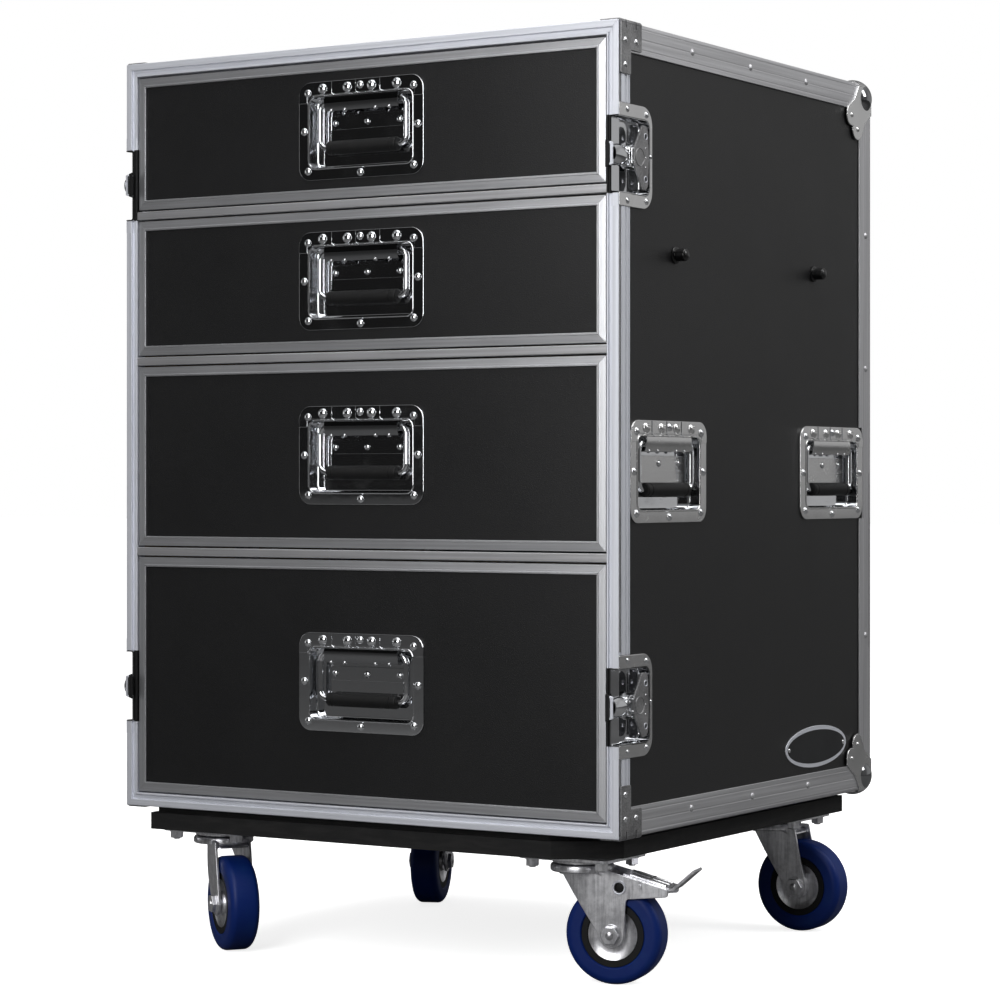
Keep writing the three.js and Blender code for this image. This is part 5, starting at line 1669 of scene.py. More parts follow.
WING_DOTS = [-9.5, 0.0, 9.5]
RING_PLACE = 40.5
RING_RADIUS = 8.6
RING_BEAD = 0.55
RING_SIDES = 40
KNUCKLE = [(1.3, -4.0), (2.2, -4.0), (2.2, 4.0), (1.3, 4.0)]
NECK = (3.2, 8.0, 0.3)
NECK_MIDDLE = (29.2, 0.0)
NECK_ROUND = 0.3


def latch_drum():
    drum = lathe(DRUM_PROFILE, 36, "chrome").at(FLAT.moved(DRUM_PLACE))
    eye = lathe(EYE_PROFILE, 14, "chrome")
    eyes = [eye.at(Place([PIN_PLACE, 0, -PIN_SINK], RIGHT, UP * side, -BACK * side))
            for side in SIDES.values()]
    return join(drum, *eyes)


def wing_outline():
    """Narrow at the pin, wide behind, with a far edge that bulges a little."""
    front, tip, narrow, wide, cheek, bulge = WING.values()
    corners = [(front, -narrow), (tip - cheek, -wide), (tip - bulge, bulge - wide), (tip, 0.0),
               (tip - bulge, wide - bulge), (tip - cheek, wide), (front, narrow)]
    return rounded(corners, WING_RADII, 8)


def pressed_ring():
    """A small circle carried round a large one."""
    turn = around(RING_SIDES)[:, None]
    bead = circle(RING_BEAD, 8)
    reach = RING_RADIUS + bead[:, 0]
    height = np.broadcast_to(WING_TOP + bead[:, 1], (RING_SIDES, len(bead)))
    points = np.stack([RING_PLACE + np.cos(turn) * reach, np.sin(turn) * reach, height], -1)
    return grid(points, (True, True), "dull_steel")


def latch_wing():
    place, rise, radius = WING_HOLES
    holes = [circle(radius, 20, (place, side * rise)) for side in SIDES.values()]
    fan = plate(wing_outline(), holes, WING_LOW, WING_TOP, WING_ROUND, "dull_steel")
    neck = plate(rectangle(*NECK, NECK_MIDDLE), (), WING_LOW, WING_TOP, NECK_ROUND, "dull_steel")
    knuckle = lathe(KNUCKLE, 16, "chrome", ring=True).at(UPRIGHT.moved(PIN_PLACE, -PIN_SINK))
    face = FLAT.moved(place, 0, WING_TOP)
    rim = lathe(HOLE_RIM, 20, "matt_aluminium", ring=True)
    rims = [rim.at(face.moved(0, side * rise)) for side in SIDES.values()]
    dots = [dome(*WING_DOT, "chrome", 10, 3).at(face.moved(0, shift)) for shift in WING_DOTS]
    return join(fan, pressed_ring(), knuckle, neck, *rims, *dots)


print("wing drawn:", len(latch_wing().faces), "faces")

# %% [markdown]
# Turning the wing draws the hook plate back. The hook has a slot for the spindle, an arched
# channel on its front half, and a bent front end in two bands: the outer one, in light matt
# aluminium, is a painted highlight, and the inner one, in black rubber, is painted shade.

# %% Hooks, and all four latches
HOOK_TOP = -5.9
HOOK_WALL = 1.6
HOOK_FRONT = -5.6
HOOK_BACK = 46.0
HOOK_NECK = 10.0
HOOK_TAIL = 13.0
HOOK_STEP = (16.0, 22.0)
HOOK_RADII = [0.6, 3.0, 3.0, 6.0, 6.0, 3.0, 3.0, 0.6]
HOOK_SLOT = (17.2, 9.2, 4.4)
HOOK_SLOT_MIDDLE = (34.0, 0.0)
HOOK_ROUND = 0.4
ARCH = {"half": 10.5, "height": 7.0, "wall": 1.2, "front": -4.0, "back": 18.5, "taper": 0.2}
ARCH_STATIONS = 11
ARCH_END = [(-7.4, 0.2), (7.4, 0.2), (5.1, 3.9), (0.0, 5.1), (-5.1, 3.9)]
ARCH_END_CORNER = 1.0
ARCH_END_WALL = 0.8
ARCH_END_ROUND = 0.2
# The hook's bent front end: the outer band is a painted highlight, the inner band painted shade.
LIT_LIP_SHAPE = [(-10.5, -3.4), (10.5, -3.4), (12.0, -7.6), (-12.0, -7.6)]
LIT_LIP_CORNER = 1.0
LIT_LIP_ROUND = 0.5
SHADE_PAD_SHAPE = [(-12.0, -7.6), (12.0, -7.6), (13.5, -12.0), (-13.5, -12.0)]
SHADE_PAD_CORNER = 0.6
SHADE_PAD_ROUND = 0.4


def hook_arch():
    """
    Half an ellipse over the plate, its outside and its inside in one ring. Along u it swells like
    a barrel: its size is 1 - k + k sin(pi s), with s the share of the way and k the taper.
    """
    half = arm(np.linspace(0, np.pi, 17))
    outer = np.array([ARCH["half"], ARCH["height"]])
    section = np.concatenate([half * outer, (half * (outer - ARCH["wall"]))[::-1]])
    share = np.linspace(0, 1, ARCH_STATIONS)[:, None, None]
    size = 1 - ARCH["taper"] + ARCH["taper"] * np.sin(np.pi * share)
    along = ARCH["front"] + (ARCH["back"] - ARCH["front"]) * share
    u = np.broadcast_to(along, (ARCH_STATIONS, len(section), 1))
    rings = np.concatenate([u, section * size + np.array([0.0, HOOK_TOP])], -1)
    return bar(rings, section, "chrome")


def latch_hook():
    start, end = HOOK_STEP
    half = [(HOOK_FRONT, -HOOK_NECK), (start, -HOOK_NECK), (end, -HOOK_TAIL), (HOOK_BACK, -HOOK_TAIL)]
    slot = rectangle(*HOOK_SLOT, HOOK_SLOT_MIDDLE, 8)
    sheet = plate(rounded(both_ways(half), HOOK_RADII), [slot], HOOK_TOP - HOOK_WALL, HOOK_TOP,
                  HOOK_ROUND, "chrome")
    # A light outer band (painted highlight) and a black inner band (painted shade) on the hook's front end.
    lip = plate(rounded(LIT_LIP_SHAPE, LIT_LIP_CORNER), (), 0.0, HOOK_WALL, LIT_LIP_ROUND, "matt_aluminium")
    shade_pad = plate(rounded(SHADE_PAD_SHAPE, SHADE_PAD_CORNER), (), 0.0, HOOK_WALL, SHADE_PAD_ROUND, "rubber")
    front = Place([HOOK_FRONT + HOOK_WALL, 0, 0], BACK, UP, -RIGHT)
    arch_end = plate(rounded(ARCH_END, ARCH_END_CORNER), (), 0.0, ARCH_END_WALL, ARCH_END_ROUND, "chrome")
    behind = Place([ARCH["back"], 0, HOOK_TOP], BACK, UP, RIGHT)
    return join(sheet, hook_arch(), lip.at(front), shade_pad.at(front), arch_end.at(behind))


def latch(prefix):
    """The latch's own frame comes from its drum's joint: u runs back and w outwards."""
    out = joint_axis(f"{prefix}_turn")
    place = Place(joint_at(f"{prefix}_turn"), BACK, np.cross(out, BACK), out).moved(-DRUM_PLACE)
    shells = {"dish": latch_dish(), "drum": latch_drum(), "wing": latch_wing(), "hook": latch_hook()}
    for part, shell in shells.items():
        body = "case" if part == "dish" else f"{prefix}_{part}"
        make(f"{prefix}_{part}_fine", body, "chrome_plate", shell.at(place),
             replaces=[f"{prefix}_{part}"])


for side_name in SIDES:
    for level_name in LEVELS:
        latch(f"{side_name}_{level_name}_latch")
print("four latches")

# %% [markdown]
# An oval plate sits low on the right side. It has a dark field, a raised border, and a rivet at
# each end.

# %% Oval plate
BADGE = (148.0, 45.0)
BADGE_PLACE = (433.0, 58.0)
BADGE_WALL = 0.9
BADGE_ROUND = 0.3
BADGE_BORDER = 4.4
BADGE_RIVET = 8.0
BADGE_HEAD = (2.6, 1.3)
FIELD_RISE = 0.15
FIELD_ROUND = 0.1


def oval(width, height, sides=64):
    return arm(around(sides)) * np.array([width / 2, height / 2])


def badge():
    width, height = BADGE
    inner = oval(width - BADGE_BORDER * 2, height - BADGE_BORDER * 2)
    base = plate(oval(width, height), (), 0.0, BADGE_WALL, BADGE_ROUND, "matt_aluminium")
    field = plate(inner, (), BADGE_WALL - LAP, BADGE_WALL + FIELD_RISE, FIELD_ROUND, "badge_face")
    head = dome(*BADGE_HEAD, "chrome")
    reach = width / 2 - BADGE_RIVET
    return join(base, field, *[head.at(FLAT.moved(side * reach, 0, BADGE_WALL)) for side in SIDES.values()])


badge_place = Place(case.put([HALF - SKIN, *BADGE_PLACE]), BACK, UP, RIGHT)
make("oval_plate", "case", "chrome_plate", badge().at(badge_place))
print("oval plate", BADGE)

# %% [markdown]
# The casters are bolted to a thick plywood board, which a thinner packing board joins to the
# case. Both are painted black, and the front right corner is sawn off.

# %% Caster board
BOARD_INSET = 25.0
BOARD_FRONT = 10.0
BOARD_BACK = 22.0
BOARD_WALL = 18.0
PACKING_WALL = 7.0
PACKING_INSET = 6.0
CLIP = (58.0, 44.0)
PLATE = (104.0, 84.0)
PLATE_WALL = 3.0
BOLTS = (40.0, 30.0)
BOARD_REACH = HALF - BOARD_INSET
BOARD_CORNER = 1.0
BOARD_ROUND = 0.8
PACKING_CORNER = 0.5
PACKING_ROUND = 0.5
CASTERS = ["front_right", "front_left", "back_right", "back_left"]


def board_edges(inwards):
    """How far a board reaches to the side, and where its front and its back lie."""
    return BOARD_REACH - inwards, BOARD_FRONT + inwards, DEPTH - BOARD_BACK - inwards


def front_corners(right, front):
    return [(-right, front), (right - CLIP[0], front), (right, front + CLIP[1])]


def board_outline():
    right, front, back = board_edges(0.0)
    return rounded([*front_corners(right, front), (right, back), (-right, back)], BOARD_CORNER, 2)


def packing_outline():
    """The packing board, cut out under the two lower ball corners."""
    right, front, back = board_edges(PACKING_INSET)
    room = LEAF_RIVET[0] + LEAF_LOBE + PANEL_GAP
    x = HALF - room
    y = DEPTH - room
    return rounded([*front_corners(right, front), (right, y), (x, y), (x, back), (-x, back), (-x, y),
                    (-right, y)], PACKING_CORNER, 2)


thick = plate(board_outline(), (), -PACKING_WALL - BOARD_WALL, -PACKING_WALL, BOARD_ROUND, "board_paint")
thin = plate(packing_outline(), (), -PACKING_WALL - LAP, -PANEL_GAP, PACKING_ROUND, "board_paint")
make("caster_boards", "case", "black_board", thick.at(case), thin.at(case), replaces=["caster_board"])
print("two boards,", BOARD_WALL, "and", PACKING_WALL, "thick")

# %% [markdown]
# Each caster has a top plate held by four bolts, a ball race and a kingpin. They are drawn with
# the board below them, and turned over at the end.

# %% Caster plates
PLATE_CORNER = 8.0
PLATE_ROUND = 0.8
NUT_ROUND = 0.8
RACE_HEIGHT = 5.0
CROWN_GAP = 0.4
CROWN_HEIGHT = 7.6
KINGPIN_DROP = 22.0
KINGPIN_WIDTH = 19.0
BOARD_LOW = -PACKING_WALL - BOARD_WALL
PLATE_LOW = BOARD_LOW - PLATE_WALL
RACE_LOW = PLATE_LOW - RACE_HEIGHT
CROWN_TOP = RACE_LOW - CROWN_GAP
CROWN_LOW = CROWN_TOP - CROWN_HEIGHT
KINGPIN_LOW = BOARD_LOW - KINGPIN_DROP
# These profiles are (radius, depth) pairs under the top plate.
RACE_PROFILE = [(0.0, 0.0), (29.0, 0.0), (30.0, 1.0), (30.0, RACE_HEIGHT - 1.0), (28.5, RACE_HEIGHT),
                (0.0, RACE_HEIGHT)]
BOLT_WASHER = [(0.0, 0.0), (7.6, 0.0), (7.6, 1.2), (0.0, 1.2)]
BOLT_NUT = (12.6, 1.2, 8.0)
BOLT_TIP = [(0.0, 8.0), (3.6, 8.0), (3.6, 9.0), (3.0, 9.5), (0.0, 9.5)]


def trail_of(prefix):
    """The level way from the swivel's axis to the axle."""
    return (joint_at(f"{prefix}_spin") - joint_at(f"{prefix}_swivel")) * np.array([1, 1, 0])


def swivel_place(prefix):
    """At the case's bottom on the swivel's axis, with u along the trail."""
    swivel = joint_at(f"{prefix}_swivel")
    along = unit(trail_of(prefix))
    return Place([swivel[0], swivel[1], rim_low[2]], along, np.cross(UP, along), UP)


def nut(width, low, high, paint="zinc"):
    """A hexagon with a rounded upper edge, given by its width across the flats."""
    return plate(circle(width / 2 / math.cos(math.pi / 6), 6), (), low, high, NUT_ROUND, paint)


def downwards(shell):
    return shell.at(Place([0, 0, 0], RIGHT, -BACK, -UP))


def top_plate():
    """The plate, its ball race, the kingpin's nut and four bolts."""
    face = FLAT.moved(w=-PLATE_LOW)
    sheet = plate(rectangle(*PLATE, PLATE_CORNER), (), -BOARD_LOW, -PLATE_LOW, PLATE_ROUND, "zinc")
    race = lathe(RACE_PROFILE, 40, "zinc").at(face)
    pin = nut(KINGPIN_WIDTH, -RACE_LOW, -KINGPIN_LOW)
    bolt = join(lathe(BOLT_WASHER, 20, "zinc"), nut(*BOLT_NUT), lathe(BOLT_TIP, 12, "zinc"))
    bolts = [bolt.at(face.moved(a * BOLTS[0], b * BOLTS[1])) for a in (1, -1) for b in (1, -1)]
    return downwards(join(sheet, race, pin, *bolts))


def square_place(prefix):
    """The same spot, but square to the case, because the top plates don't turn."""
    return Place(swivel_place(prefix).origin, RIGHT, BACK, UP)


plates = [top_plate().at(square_place(prefix)) for prefix in CASTERS]
make("caster_plates", "case", "zinc_steel", *plates, replaces=["caster_board"])
print("caster plates", PLATE)

# %% [markdown]
# A wheel is turned about its axle: a blue tread with round shoulders on a black core, with a
# pressed zinc disc on each side and a short hub.

# %% Wheels
WHEEL_RADIUS = 50.0
WHEEL_HALF = 16.0
TREAD_HALF = 9.0
TREAD_INNER = 33.0
CORE_INNER = 25.5
HUB_RADIUS = 13.0
WHEEL_SIDES = 72
SHOULDER_START = 42.0
# These profiles are (radius, way out from the wheel's middle) pairs.
TREAD_FOOT = [(TREAD_INNER - 1.0, 13.0), (TREAD_INNER, 15.2), (TREAD_INNER + 1.2, WHEEL_HALF)]
TREAD_FACE = [(WHEEL_RADIUS, TREAD_HALF * share) for share in (0.66, 0.33, 0.0)]
CORE_PROFILE = [
    (CORE_INNER - 1.0, 11.0), (CORE_INNER, 14.2), (CORE_INNER + 1.0, 15.0),
    (TREAD_INNER - 0.8, 15.0), (TREAD_INNER, 14.0), (TREAD_INNER + 1.0, 12.0),
]
DISC_PROFILE = [
    (6.4, 15.0), (HUB_RADIUS - 2.0, 15.0), (HUB_RADIUS - 1.0, 14.2), (HUB_RADIUS, 12.4), (17.0, 12.0),
    (21.0, 12.7), (24.0, 13.8), (CORE_INNER, 14.4), (CORE_INNER + 0.6, 13.6), (CORE_INNER - 0.5, 10.0),
]


def wheel():
    turn = quarter(8)
    drop = WHEEL_RADIUS - SHOULDER_START
    wide = WHEEL_HALF - TREAD_HALF
    shoulder = np.column_stack([SHOULDER_START + drop * np.sin(turn), TREAD_HALF + wide * np.cos(turn)])
    profiles = {
        "blue_tread": np.concatenate([TREAD_FOOT, shoulder, TREAD_FACE]),
        "rubber": CORE_PROFILE,
        "zinc": DISC_PROFILE,
    }
    return join(*[lathe(both_ways(profile), WHEEL_SIDES, paint, ring=True)
                  for paint, profile in profiles.items()])


def axle_place(prefix):
    """At the wheel's middle, with w along the axle."""
    u, v, w = swivel_place(prefix).axes
    return Place(joint_at(f"{prefix}_spin"), u, w, -v)


for prefix in CASTERS:
    make(f"{prefix}_tyre_and_disc", f"{prefix}_wheel", "blue_tread", wheel().at(axle_place(prefix)),
         replaces=[f"{prefix}_wheel"])
print("wheels", WHEEL_RADIUS * 2, "across")

# %% [markdown]
# The fork is pressed from one sheet: a round crown under the race and two legs that narrow to
# the axle. Each leg is flat about the axle, and its tail curves in towards the other leg. A
# braked caster has longer legs, with a hole for an eyelet.

# %% Fork legs
FORK_HALF = 20.0
FORK_WALL = 2.5
FORK_TOP = -36.0
FORK_TAIL = -22.0
FORK_NOSE = 35.0
HUB_LOBE = 13.0
AXLE_HEIGHT = -102.0
BRAKE_ARM = [(52.0, -66.0), (95.0, -62.0), (95.0, -54.0), (25.0, FORK_TOP)]
EYELET = (45.0, -54.4, 5.0)
PEDAL_PIN = (66.0, -53.0)
SHOULDER_LOW = -44.5
LEG_BEND = 20.0
BEND_RADIUS = 100.0
BEND_LAP = 2.0
BEND_PROUD = 0.02
ARM_ROUND = 3.0


def bend_of(u):
    """How far a leg's tail has curved in: r - sqrt(r^2 - d^2), with d the way past the bend."""
    past = np.clip(LEG_BEND - u, 0, None)
    return BEND_RADIUS - np.sqrt(BEND_RADIUS ** 2 - past ** 2)


def tail_edge(u, trail):
    """The height of the slanting edge between the leg's tail and the axle."""
    share = (u - FORK_TAIL) / (trail - HUB_LOBE - FORK_TAIL)
    return FORK_TOP + share * (AXLE_HEIGHT - FORK_TOP)


def leg_outline(trail, brake):
    """The leg's flat part in (along the trail, up), with a half round about the axle."""
    foot = np.array([trail, AXLE_HEIGHT]) + HUB_LOBE * arm(np.linspace(np.pi, 2 * np.pi, 17))
    rest = BRAKE_ARM if brake else [(FORK_NOSE, FORK_TOP)]
    start = LEG_BEND - BEND_LAP
    corners = np.concatenate([[(start, FORK_TOP), (start, tail_edge(start, trail))], foot, rest])
    radii = np.full(len(corners), SHARP)
    radii[-len(rest):] = ARM_ROUND
    return rounded(corners, radii, 4)


def leg_tail(trail):
    """
    The leg's curved part, station by station along the trail: down the outer face, round the
    slanting edge and up the inner face, all moved inwards by the bend.
    """
    u = np.linspace(FORK_TAIL, LEG_BEND + BEND_LAP, 15)[:, None]
    turn = np.linspace(0, np.pi, 9)
    half = FORK_WALL / 2 + BEND_PROUD
    low = np.minimum(tail_edge(u, trail), FORK_TOP - FORK_WALL * 2)
    top = np.full_like(u, FORK_TOP)
    height = np.concatenate([top, low + half - half * np.sin(turn), top], 1)
    wall = FORK_WALL / 2 + half * np.concatenate([[1.0], np.cos(turn), [-1.0]])
    rings = np.stack([np.broadcast_to(u, height.shape), height, wall - bend_of(u)], -1)
    return bar(rings, rings[-1][:, 1:], "zinc")


print("a leg is", FORK_WALL, "thick, and", LEG_BEND - FORK_TAIL, "of it is curved")

# %% [markdown]
# The crown turns into the legs over a short way. Each ring of this shoulder is a blend of a circle
# and a rounded rectangle with as many points, both started at the same angle. The axle with its
# nuts joins the legs, and a braked fork has a rimmed eyelet with a dark plug on each leg.

# %% Forks
FORK_MIDDLE = (FORK_NOSE + FORK_TAIL) / 2
CROWN_RADIUS = 31.0
CROWN_LAP = 1.0
CROWN_BORE = 6.4
CROWN_PROFILE = [
    (CROWN_BORE, 0.0), (28.0, 0.0), (CROWN_RADIUS, 0.8), (32.0, 2.6), (32.0, CROWN_HEIGHT - CROWN_LAP),
    (CROWN_RADIUS, CROWN_HEIGHT), (CROWN_BORE, CROWN_HEIGHT),
]
SHOULDER_CORNER = 9.0
SHOULDER_DROP = 1.6  # powers that shape the way from the circle to the rectangle
SHOULDER_EASE = 1.4
LEG_ROUND = 0.7
AXLE_NUT = (17.0, -LAP, 5.6)
AXLE_WASHER = [(0.0, -LAP), (11.0, -LAP), (11.0, 0.6), (10.4, 1.0), (0.0, 1.0)]
AXLE_END = (4.2, 1.6)
AXLE_RADIUS = 6.0
EYELET_RING = [(5.0, -0.2), (7.2, -0.2), (7.2, 0.7), (6.4, 1.3), (5.4, 1.1), (5.0, 0.5)]
EYELET_PLUG = [(0.0, -0.6), (5.6, -0.6), (5.6, 0.0), (4.6, 0.5), (0.0, 0.8)]


def shoulder():
    """With s from 0 to 1, a ring lies (1 - s^1.6) of the way up, and (sin(s pi / 2))^1.4 rectangle."""
    square = rectangle(FORK_NOSE - FORK_TAIL, FORK_HALF * 2, SHOULDER_CORNER, (FORK_MIDDLE, 0.0), 11)
    square[:, 1] *= 1 - bend_of(square[:, 0]) / FORK_HALF
    crown = CROWN_RADIUS * arm(np.arctan2(square[:, 1], square[:, 0] - FORK_MIDDLE))
    share = np.linspace(0, 1, 9)
    top = CROWN_LOW + CROWN_LAP
    heights = top - (top - SHOULDER_LOW) * share ** SHOULDER_DROP
    eases = np.sin(share * np.pi / 2) ** SHOULDER_EASE
    rings = np.stack([lift(crown + (square - crown) * ease, height)
                      for ease, height in zip(eases, heights)])
    return join(grid(rings, (False, True), "zinc"), fill([crown], rings[0], "zinc"),
                fill([square], rings[-1], "zinc"))


def axle_fittings():
    """A nut over a washer, with the axle's domed end."""
    nut_top = AXLE_NUT[2]
    return join(nut(*AXLE_NUT), lathe(AXLE_WASHER, 28, "zinc"),
                dome(*AXLE_END, "zinc", 16).at(FLAT.moved(w=nut_top)))


def fork(trail, brake):
    """Each leg is drawn in (along the trail, up) and stands half a fork's width to one side."""
    holes = [circle(EYELET[2], 24, EYELET[:2])] if brake else []
    leg = plate(leg_outline(trail, brake), holes, 0.0, FORK_WALL, LEG_ROUND, "zinc")
    parts = []
    for side in SIDES.values():
        outer = Place([0, side * (FORK_HALF - FORK_WALL), 0], RIGHT, UP, BACK * side)
        parts += [leg.at(outer), leg_tail(trail).at(outer)]
        parts.append(axle_fittings().at(outer.moved(trail, AXLE_HEIGHT, FORK_WALL)))
        if brake:
            eye = outer.moved(*EYELET[:2])
            parts.append(lathe(EYELET_RING, 28, "matt_aluminium", ring=True).at(eye.moved(w=FORK_WALL)))
            parts.append(lathe(EYELET_PLUG, 24, "rubber").at(eye))
    crown = lathe(CROWN_PROFILE, 48, "zinc", ring=True).at(FLAT.moved(w=-CROWN_TOP))
    axle = rod(AXLE_RADIUS, FORK_HALF, 20).at(UPRIGHT.moved(trail, AXLE_HEIGHT))
    return join(*parts, downwards(crown), shoulder(), axle)


BRAKED = [prefix for prefix in CASTERS if f"{prefix}_press" in JOINTS]
for prefix in CASTERS:
    trail = float(np.linalg.norm(trail_of(prefix)))
    make(f"{prefix}_fork_fine", f"{prefix}_caster", "zinc_steel",
         fork(trail, prefix in BRAKED).at(swivel_place(prefix)), replaces=[f"{prefix}_fork"])
print("braked casters:", BRAKED)

# %% [markdown]
# The brake pedal is a bent tray on a pin: it slopes down from the kingpin, its tip turns up for
# the foot, and a shoe under it meets the tread. A dark cover lies on the slope, with three ribs
# along it and a bead across it.

# %% Brake pedals
PEDAL_WALL = 2.6
PEDAL_HALF = 16.5
PEDAL_BEND = 6.0
PEDAL_TOP = [(48.0, -43.0), (98.0, -57.0), (121.0, -37.0)]
TONGUE_HALF = 14.0
TONGUE_LEAD = 4.0
TONGUE_RUN = 6.0
SHOE = [(66.0, -53.0), (80.0, -53.0), (74.5, -64.2), (69.0, -60.5)]
SHOE_CORNER = 0.6
SHOE_ROUND = 0.5
PIN_ROD = (2.5, 20.8)
HUB_ROD = (5.0, 16.5)
COVER_SHEET = (0.9, 26.0, 0.2)
COVER_RUN = np.array([0.12, 0.9])  # shares of the slope
COVER_RIBS = [-12.0, 0.0, 12.0]
COVER_RIB = 1.4
COVER_BEAD = 1.9
COVER_BEAD_HALF = 12.5


def pedal_tray():
    """The bent sheet, narrower past the bend, and the first two points of its upper face."""
    spine = route(PEDAL_TOP, PEDAL_BEND, 6)
    step = unit(np.gradient(spine, axis=0))
    upper = spine + np.stack([-step[:, 1], step[:, 0]], 1) * PEDAL_WALL
    section = np.concatenate([spine, upper[::-1]])
    along = np.clip((section[:, 0] - PEDAL_TOP[1][0] + TONGUE_LEAD) / TONGUE_RUN, 0, 1)
    half = PEDAL_HALF + (TONGUE_HALF - PEDAL_HALF) * along
    rings = np.stack([np.column_stack([section[:, 0], side * half, section[:, 1]]) for side in (-1, 1)])
    return bar(rings, section, "zinc"), upper[:2]


def pedal_cover(start, end):
    """Everything on the slope, from its upper to its lower end in (along, up)."""
    line = start + (end - start) * COVER_RUN[:, None]
    run = np.column_stack([line[:, 0], np.zeros(2), line[:, 1]])
    middle = run.mean(0)
    cover = rail(rectangle(*COVER_SHEET), run, BACK, "dull_steel")
    across = np.stack([middle - BACK * COVER_BEAD_HALF, middle + BACK * COVER_BEAD_HALF])
    bead = rail(circle(COVER_BEAD, 10), across, UP, "dull_steel")
    ribs = [rail(circle(COVER_RIB, 10), run + BACK * place, BACK, "zinc") for place in COVER_RIBS]
    return join(cover, bead, *ribs)


def pedal():
    tray, slope = pedal_tray()
    shoe = plate(rounded(SHOE, SHOE_CORNER, 3), (), -TONGUE_HALF, TONGUE_HALF, SHOE_ROUND, "zinc")
    axis = UPRIGHT.moved(*PEDAL_PIN)
    return join(tray, shoe.at(UPRIGHT), rod(*PIN_ROD, 16).at(axis), rod(*HUB_ROD, 20).at(axis),
                pedal_cover(*slope))


for prefix in BRAKED:
    make(f"{prefix}_pedal_fine", f"{prefix}_pedal", "zinc_steel", pedal().at(swivel_place(prefix)),
         replaces=[f"{prefix}_pedal"])
print("pedals on", BRAKED)

# %% [markdown]
# The top, bottom and back panels and the slide racks keep their CAD solids, which already have
# the right shape. They only need their finishes.

# %% Panels and racks that stay
for name in ("top_panel", "bottom_panel", "back_panel"):
    node = frame["nodes"][name]
    node.data.materials.clear()
    node.data.materials.append(finishes["laminate"])
for side_name in SIDES:
    node = frame["nodes"][f"{side_name}_slide_rack"]
    node.data.materials.clear()
    node.data.materials.append(finishes["zinc"])
print(len(made), "pieces made")

# %% [markdown]
# The case stands on a pale floor that the camera sees as white, with a soft shadow under the
# casters. Only rays that leave the camera see the white world. All others see a darker studio,
# which is dim in front and brighter behind on the right, with a bright panel there.

# %% Studio
FLOOR_REACH = 30.0
FLOOR_SEEN = (0.9, 0.9, 0.9)
FLOOR_UNSEEN = (0.16, 0.16, 0.16)
STUDIO = {"front": 0.01, "back": 0.17, "above": 0.36, "panel": 0.26}
STUDIO_WAY = (0.52, 0.855)  # to the right and back, where the studio is brightest
RISE_SPAN = (-0.35, 0.75)
PANEL_SPAN = (0.84, 0.96)
ABOVE_SPAN = (0.22, 0.85)
LAMPS = [
    ("key", (0.25, -2.1, 1.1), (0.1, 0.0, 0.5), (0.8, 1.3), 24.0),
    ("fill", (-2.7, -1.2, 0.9), (-0.2, -0.2, 0.5), (0.8, 1.3), 3.0),
    ("overhead", (0.4, -0.4, 3.0), (0.0, 0.0, 0.3), (2.6, 2.6), 60.0),
    ("side", (2.9, 1.0, 2.3), (0.3, 0.0, 0.4), (1.0, 1.6), 30.0),
]


def floor():
    mesh = bpy.data.meshes.new("floor")
    reach = FLOOR_REACH
    mesh.from_pydata([(-reach, -reach, 0), (reach, -reach, 0), (reach, reach, 0), (-reach, reach, 0)], [],
                     [(0, 1, 2, 3)])
    paint = Recipe("floor_paint")
    speck = paint.noise(paint.place(), 40.0, 3.0)
    seen = paint.node("LightPath").part("Is Camera Ray")
    paint.set(
        Base_Color=paint.mix(seen, FLOOR_UNSEEN, FLOOR_SEEN),
        Roughness=0.85 + speck * 0.1,
        Specular_IOR_Level=0.1,
        Emission_Color=paint.mix(seen, (0, 0, 0), (1, 1, 1)),
        Emission_Strength=0.8,
    )
    mesh.materials.append(finishes["floor_paint"])
    ground = bpy.data.objects.new("floor", mesh)
    bpy.context.scene.collection.objects.link(ground)


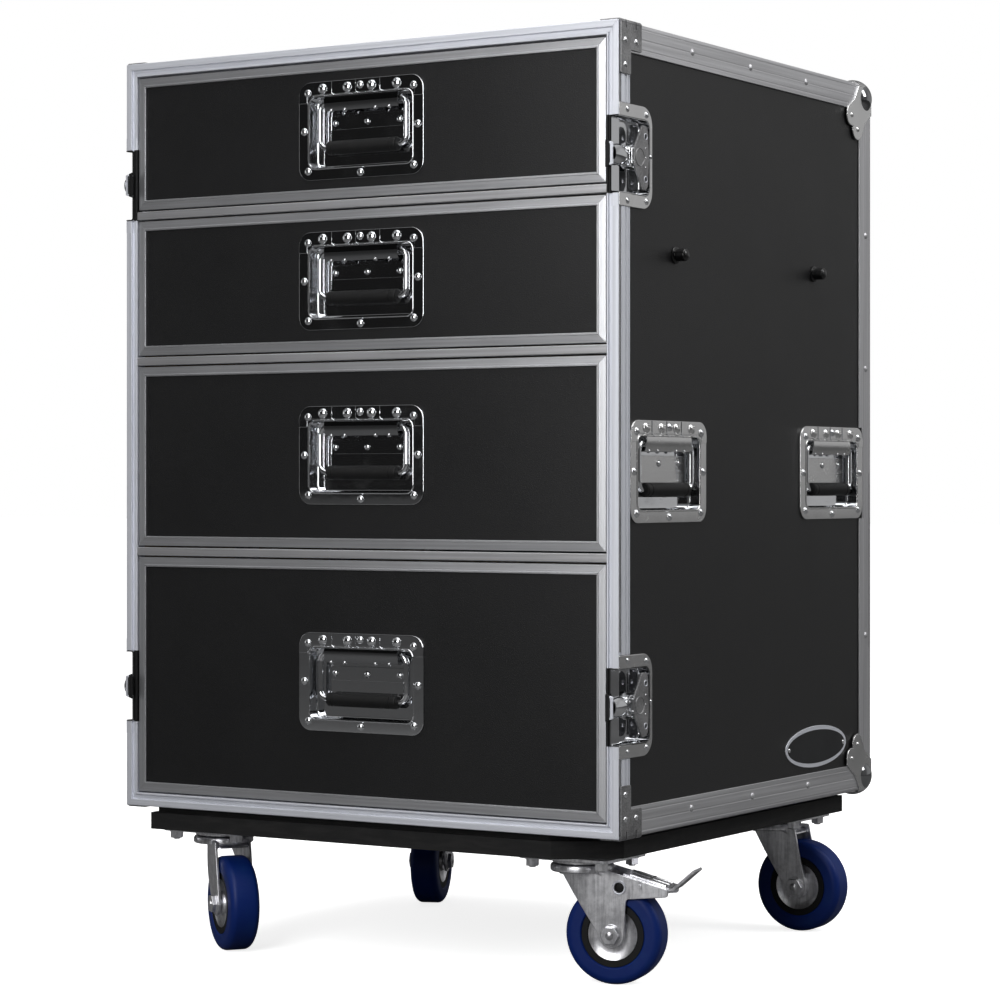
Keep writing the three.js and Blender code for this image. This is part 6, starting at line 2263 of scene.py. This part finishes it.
def world():
    """The strength of the light from each direction, as a sum of its sideways and upward parts."""
    sky = bpy.data.worlds.new("studio")
    sky.use_nodes = True
    recipe = Recipe.__new__(Recipe)
    recipe.tree = sky.node_tree
    background = sky.node_tree.nodes["Background"]
    way = recipe.node("SeparateXYZ", None, {0: recipe.node("TexCoord").part("Generated")})
    across = way.part("X")
    back = way.part("Y")
    height = way.part("Z")
    towards = across * STUDIO_WAY[0] + back * STUDIO_WAY[1]
    rise = towards.between(*RISE_SPAN)
    level = (1 - rise) * STUDIO["front"] + rise * STUDIO["back"]
    panel = towards.between(*PANEL_SPAN) * STUDIO["panel"]
    strength = level + panel + height.between(*ABOVE_SPAN) * STUDIO["above"]
    grey = recipe.node("CombineColor", None, {0: strength, 1: strength, 2: strength})
    seen = recipe.node("LightPath").part("Is Camera Ray")
    recipe.plug(background.inputs["Color"], recipe.mix(seen, grey, (1, 1, 1)))
    bpy.context.scene.world = sky


def softbox(name, spot, aim, size, power):
    """A lamp the size of a window. It stands at one spot in metres and looks at another one."""
    data = bpy.data.lights.new(name, "AREA")
    data.shape = "RECTANGLE"
    data.size, data.size_y = size
    data.energy = power
    lamp = bpy.data.objects.new(name, data)
    lamp.location = spot
    lamp.rotation_mode = "QUATERNION"
    lamp.rotation_quaternion = (Vector(aim) - Vector(spot)).to_track_quat("-Z", "Y")
    bpy.context.scene.collection.objects.link(lamp)
    lamp.visible_camera = False


floor()
world()
for lamp in LAMPS:
    softbox(*lamp)
bpy.context.scene.view_settings.view_transform = "Standard"
print("studio lit")

# %% [markdown]
# The camera stands at half the case's height and looks level, so upright edges stay upright. The
# small shift moves the picture without tilting them.

# %% Camera
EYE = (1.7183, -2.7487, 0.4967)
LOOK = (-0.5180, 0.8554, 0.0)
LENS = 106.09
SENSOR = 36.0
SHIFT = (-0.06, -0.0164)

camera_data = bpy.data.cameras.new("camera")
camera_data.lens = LENS
camera_data.sensor_width = SENSOR
camera_data.shift_x, camera_data.shift_y = SHIFT
camera = bpy.data.objects.new("camera", camera_data)
camera.location = EYE
camera.rotation_mode = "QUATERNION"
camera.rotation_quaternion = Vector(LOOK).to_track_quat("-Z", "Y")
bpy.context.scene.collection.objects.link(camera)
bpy.context.scene.camera = camera
print("camera at", EYE)
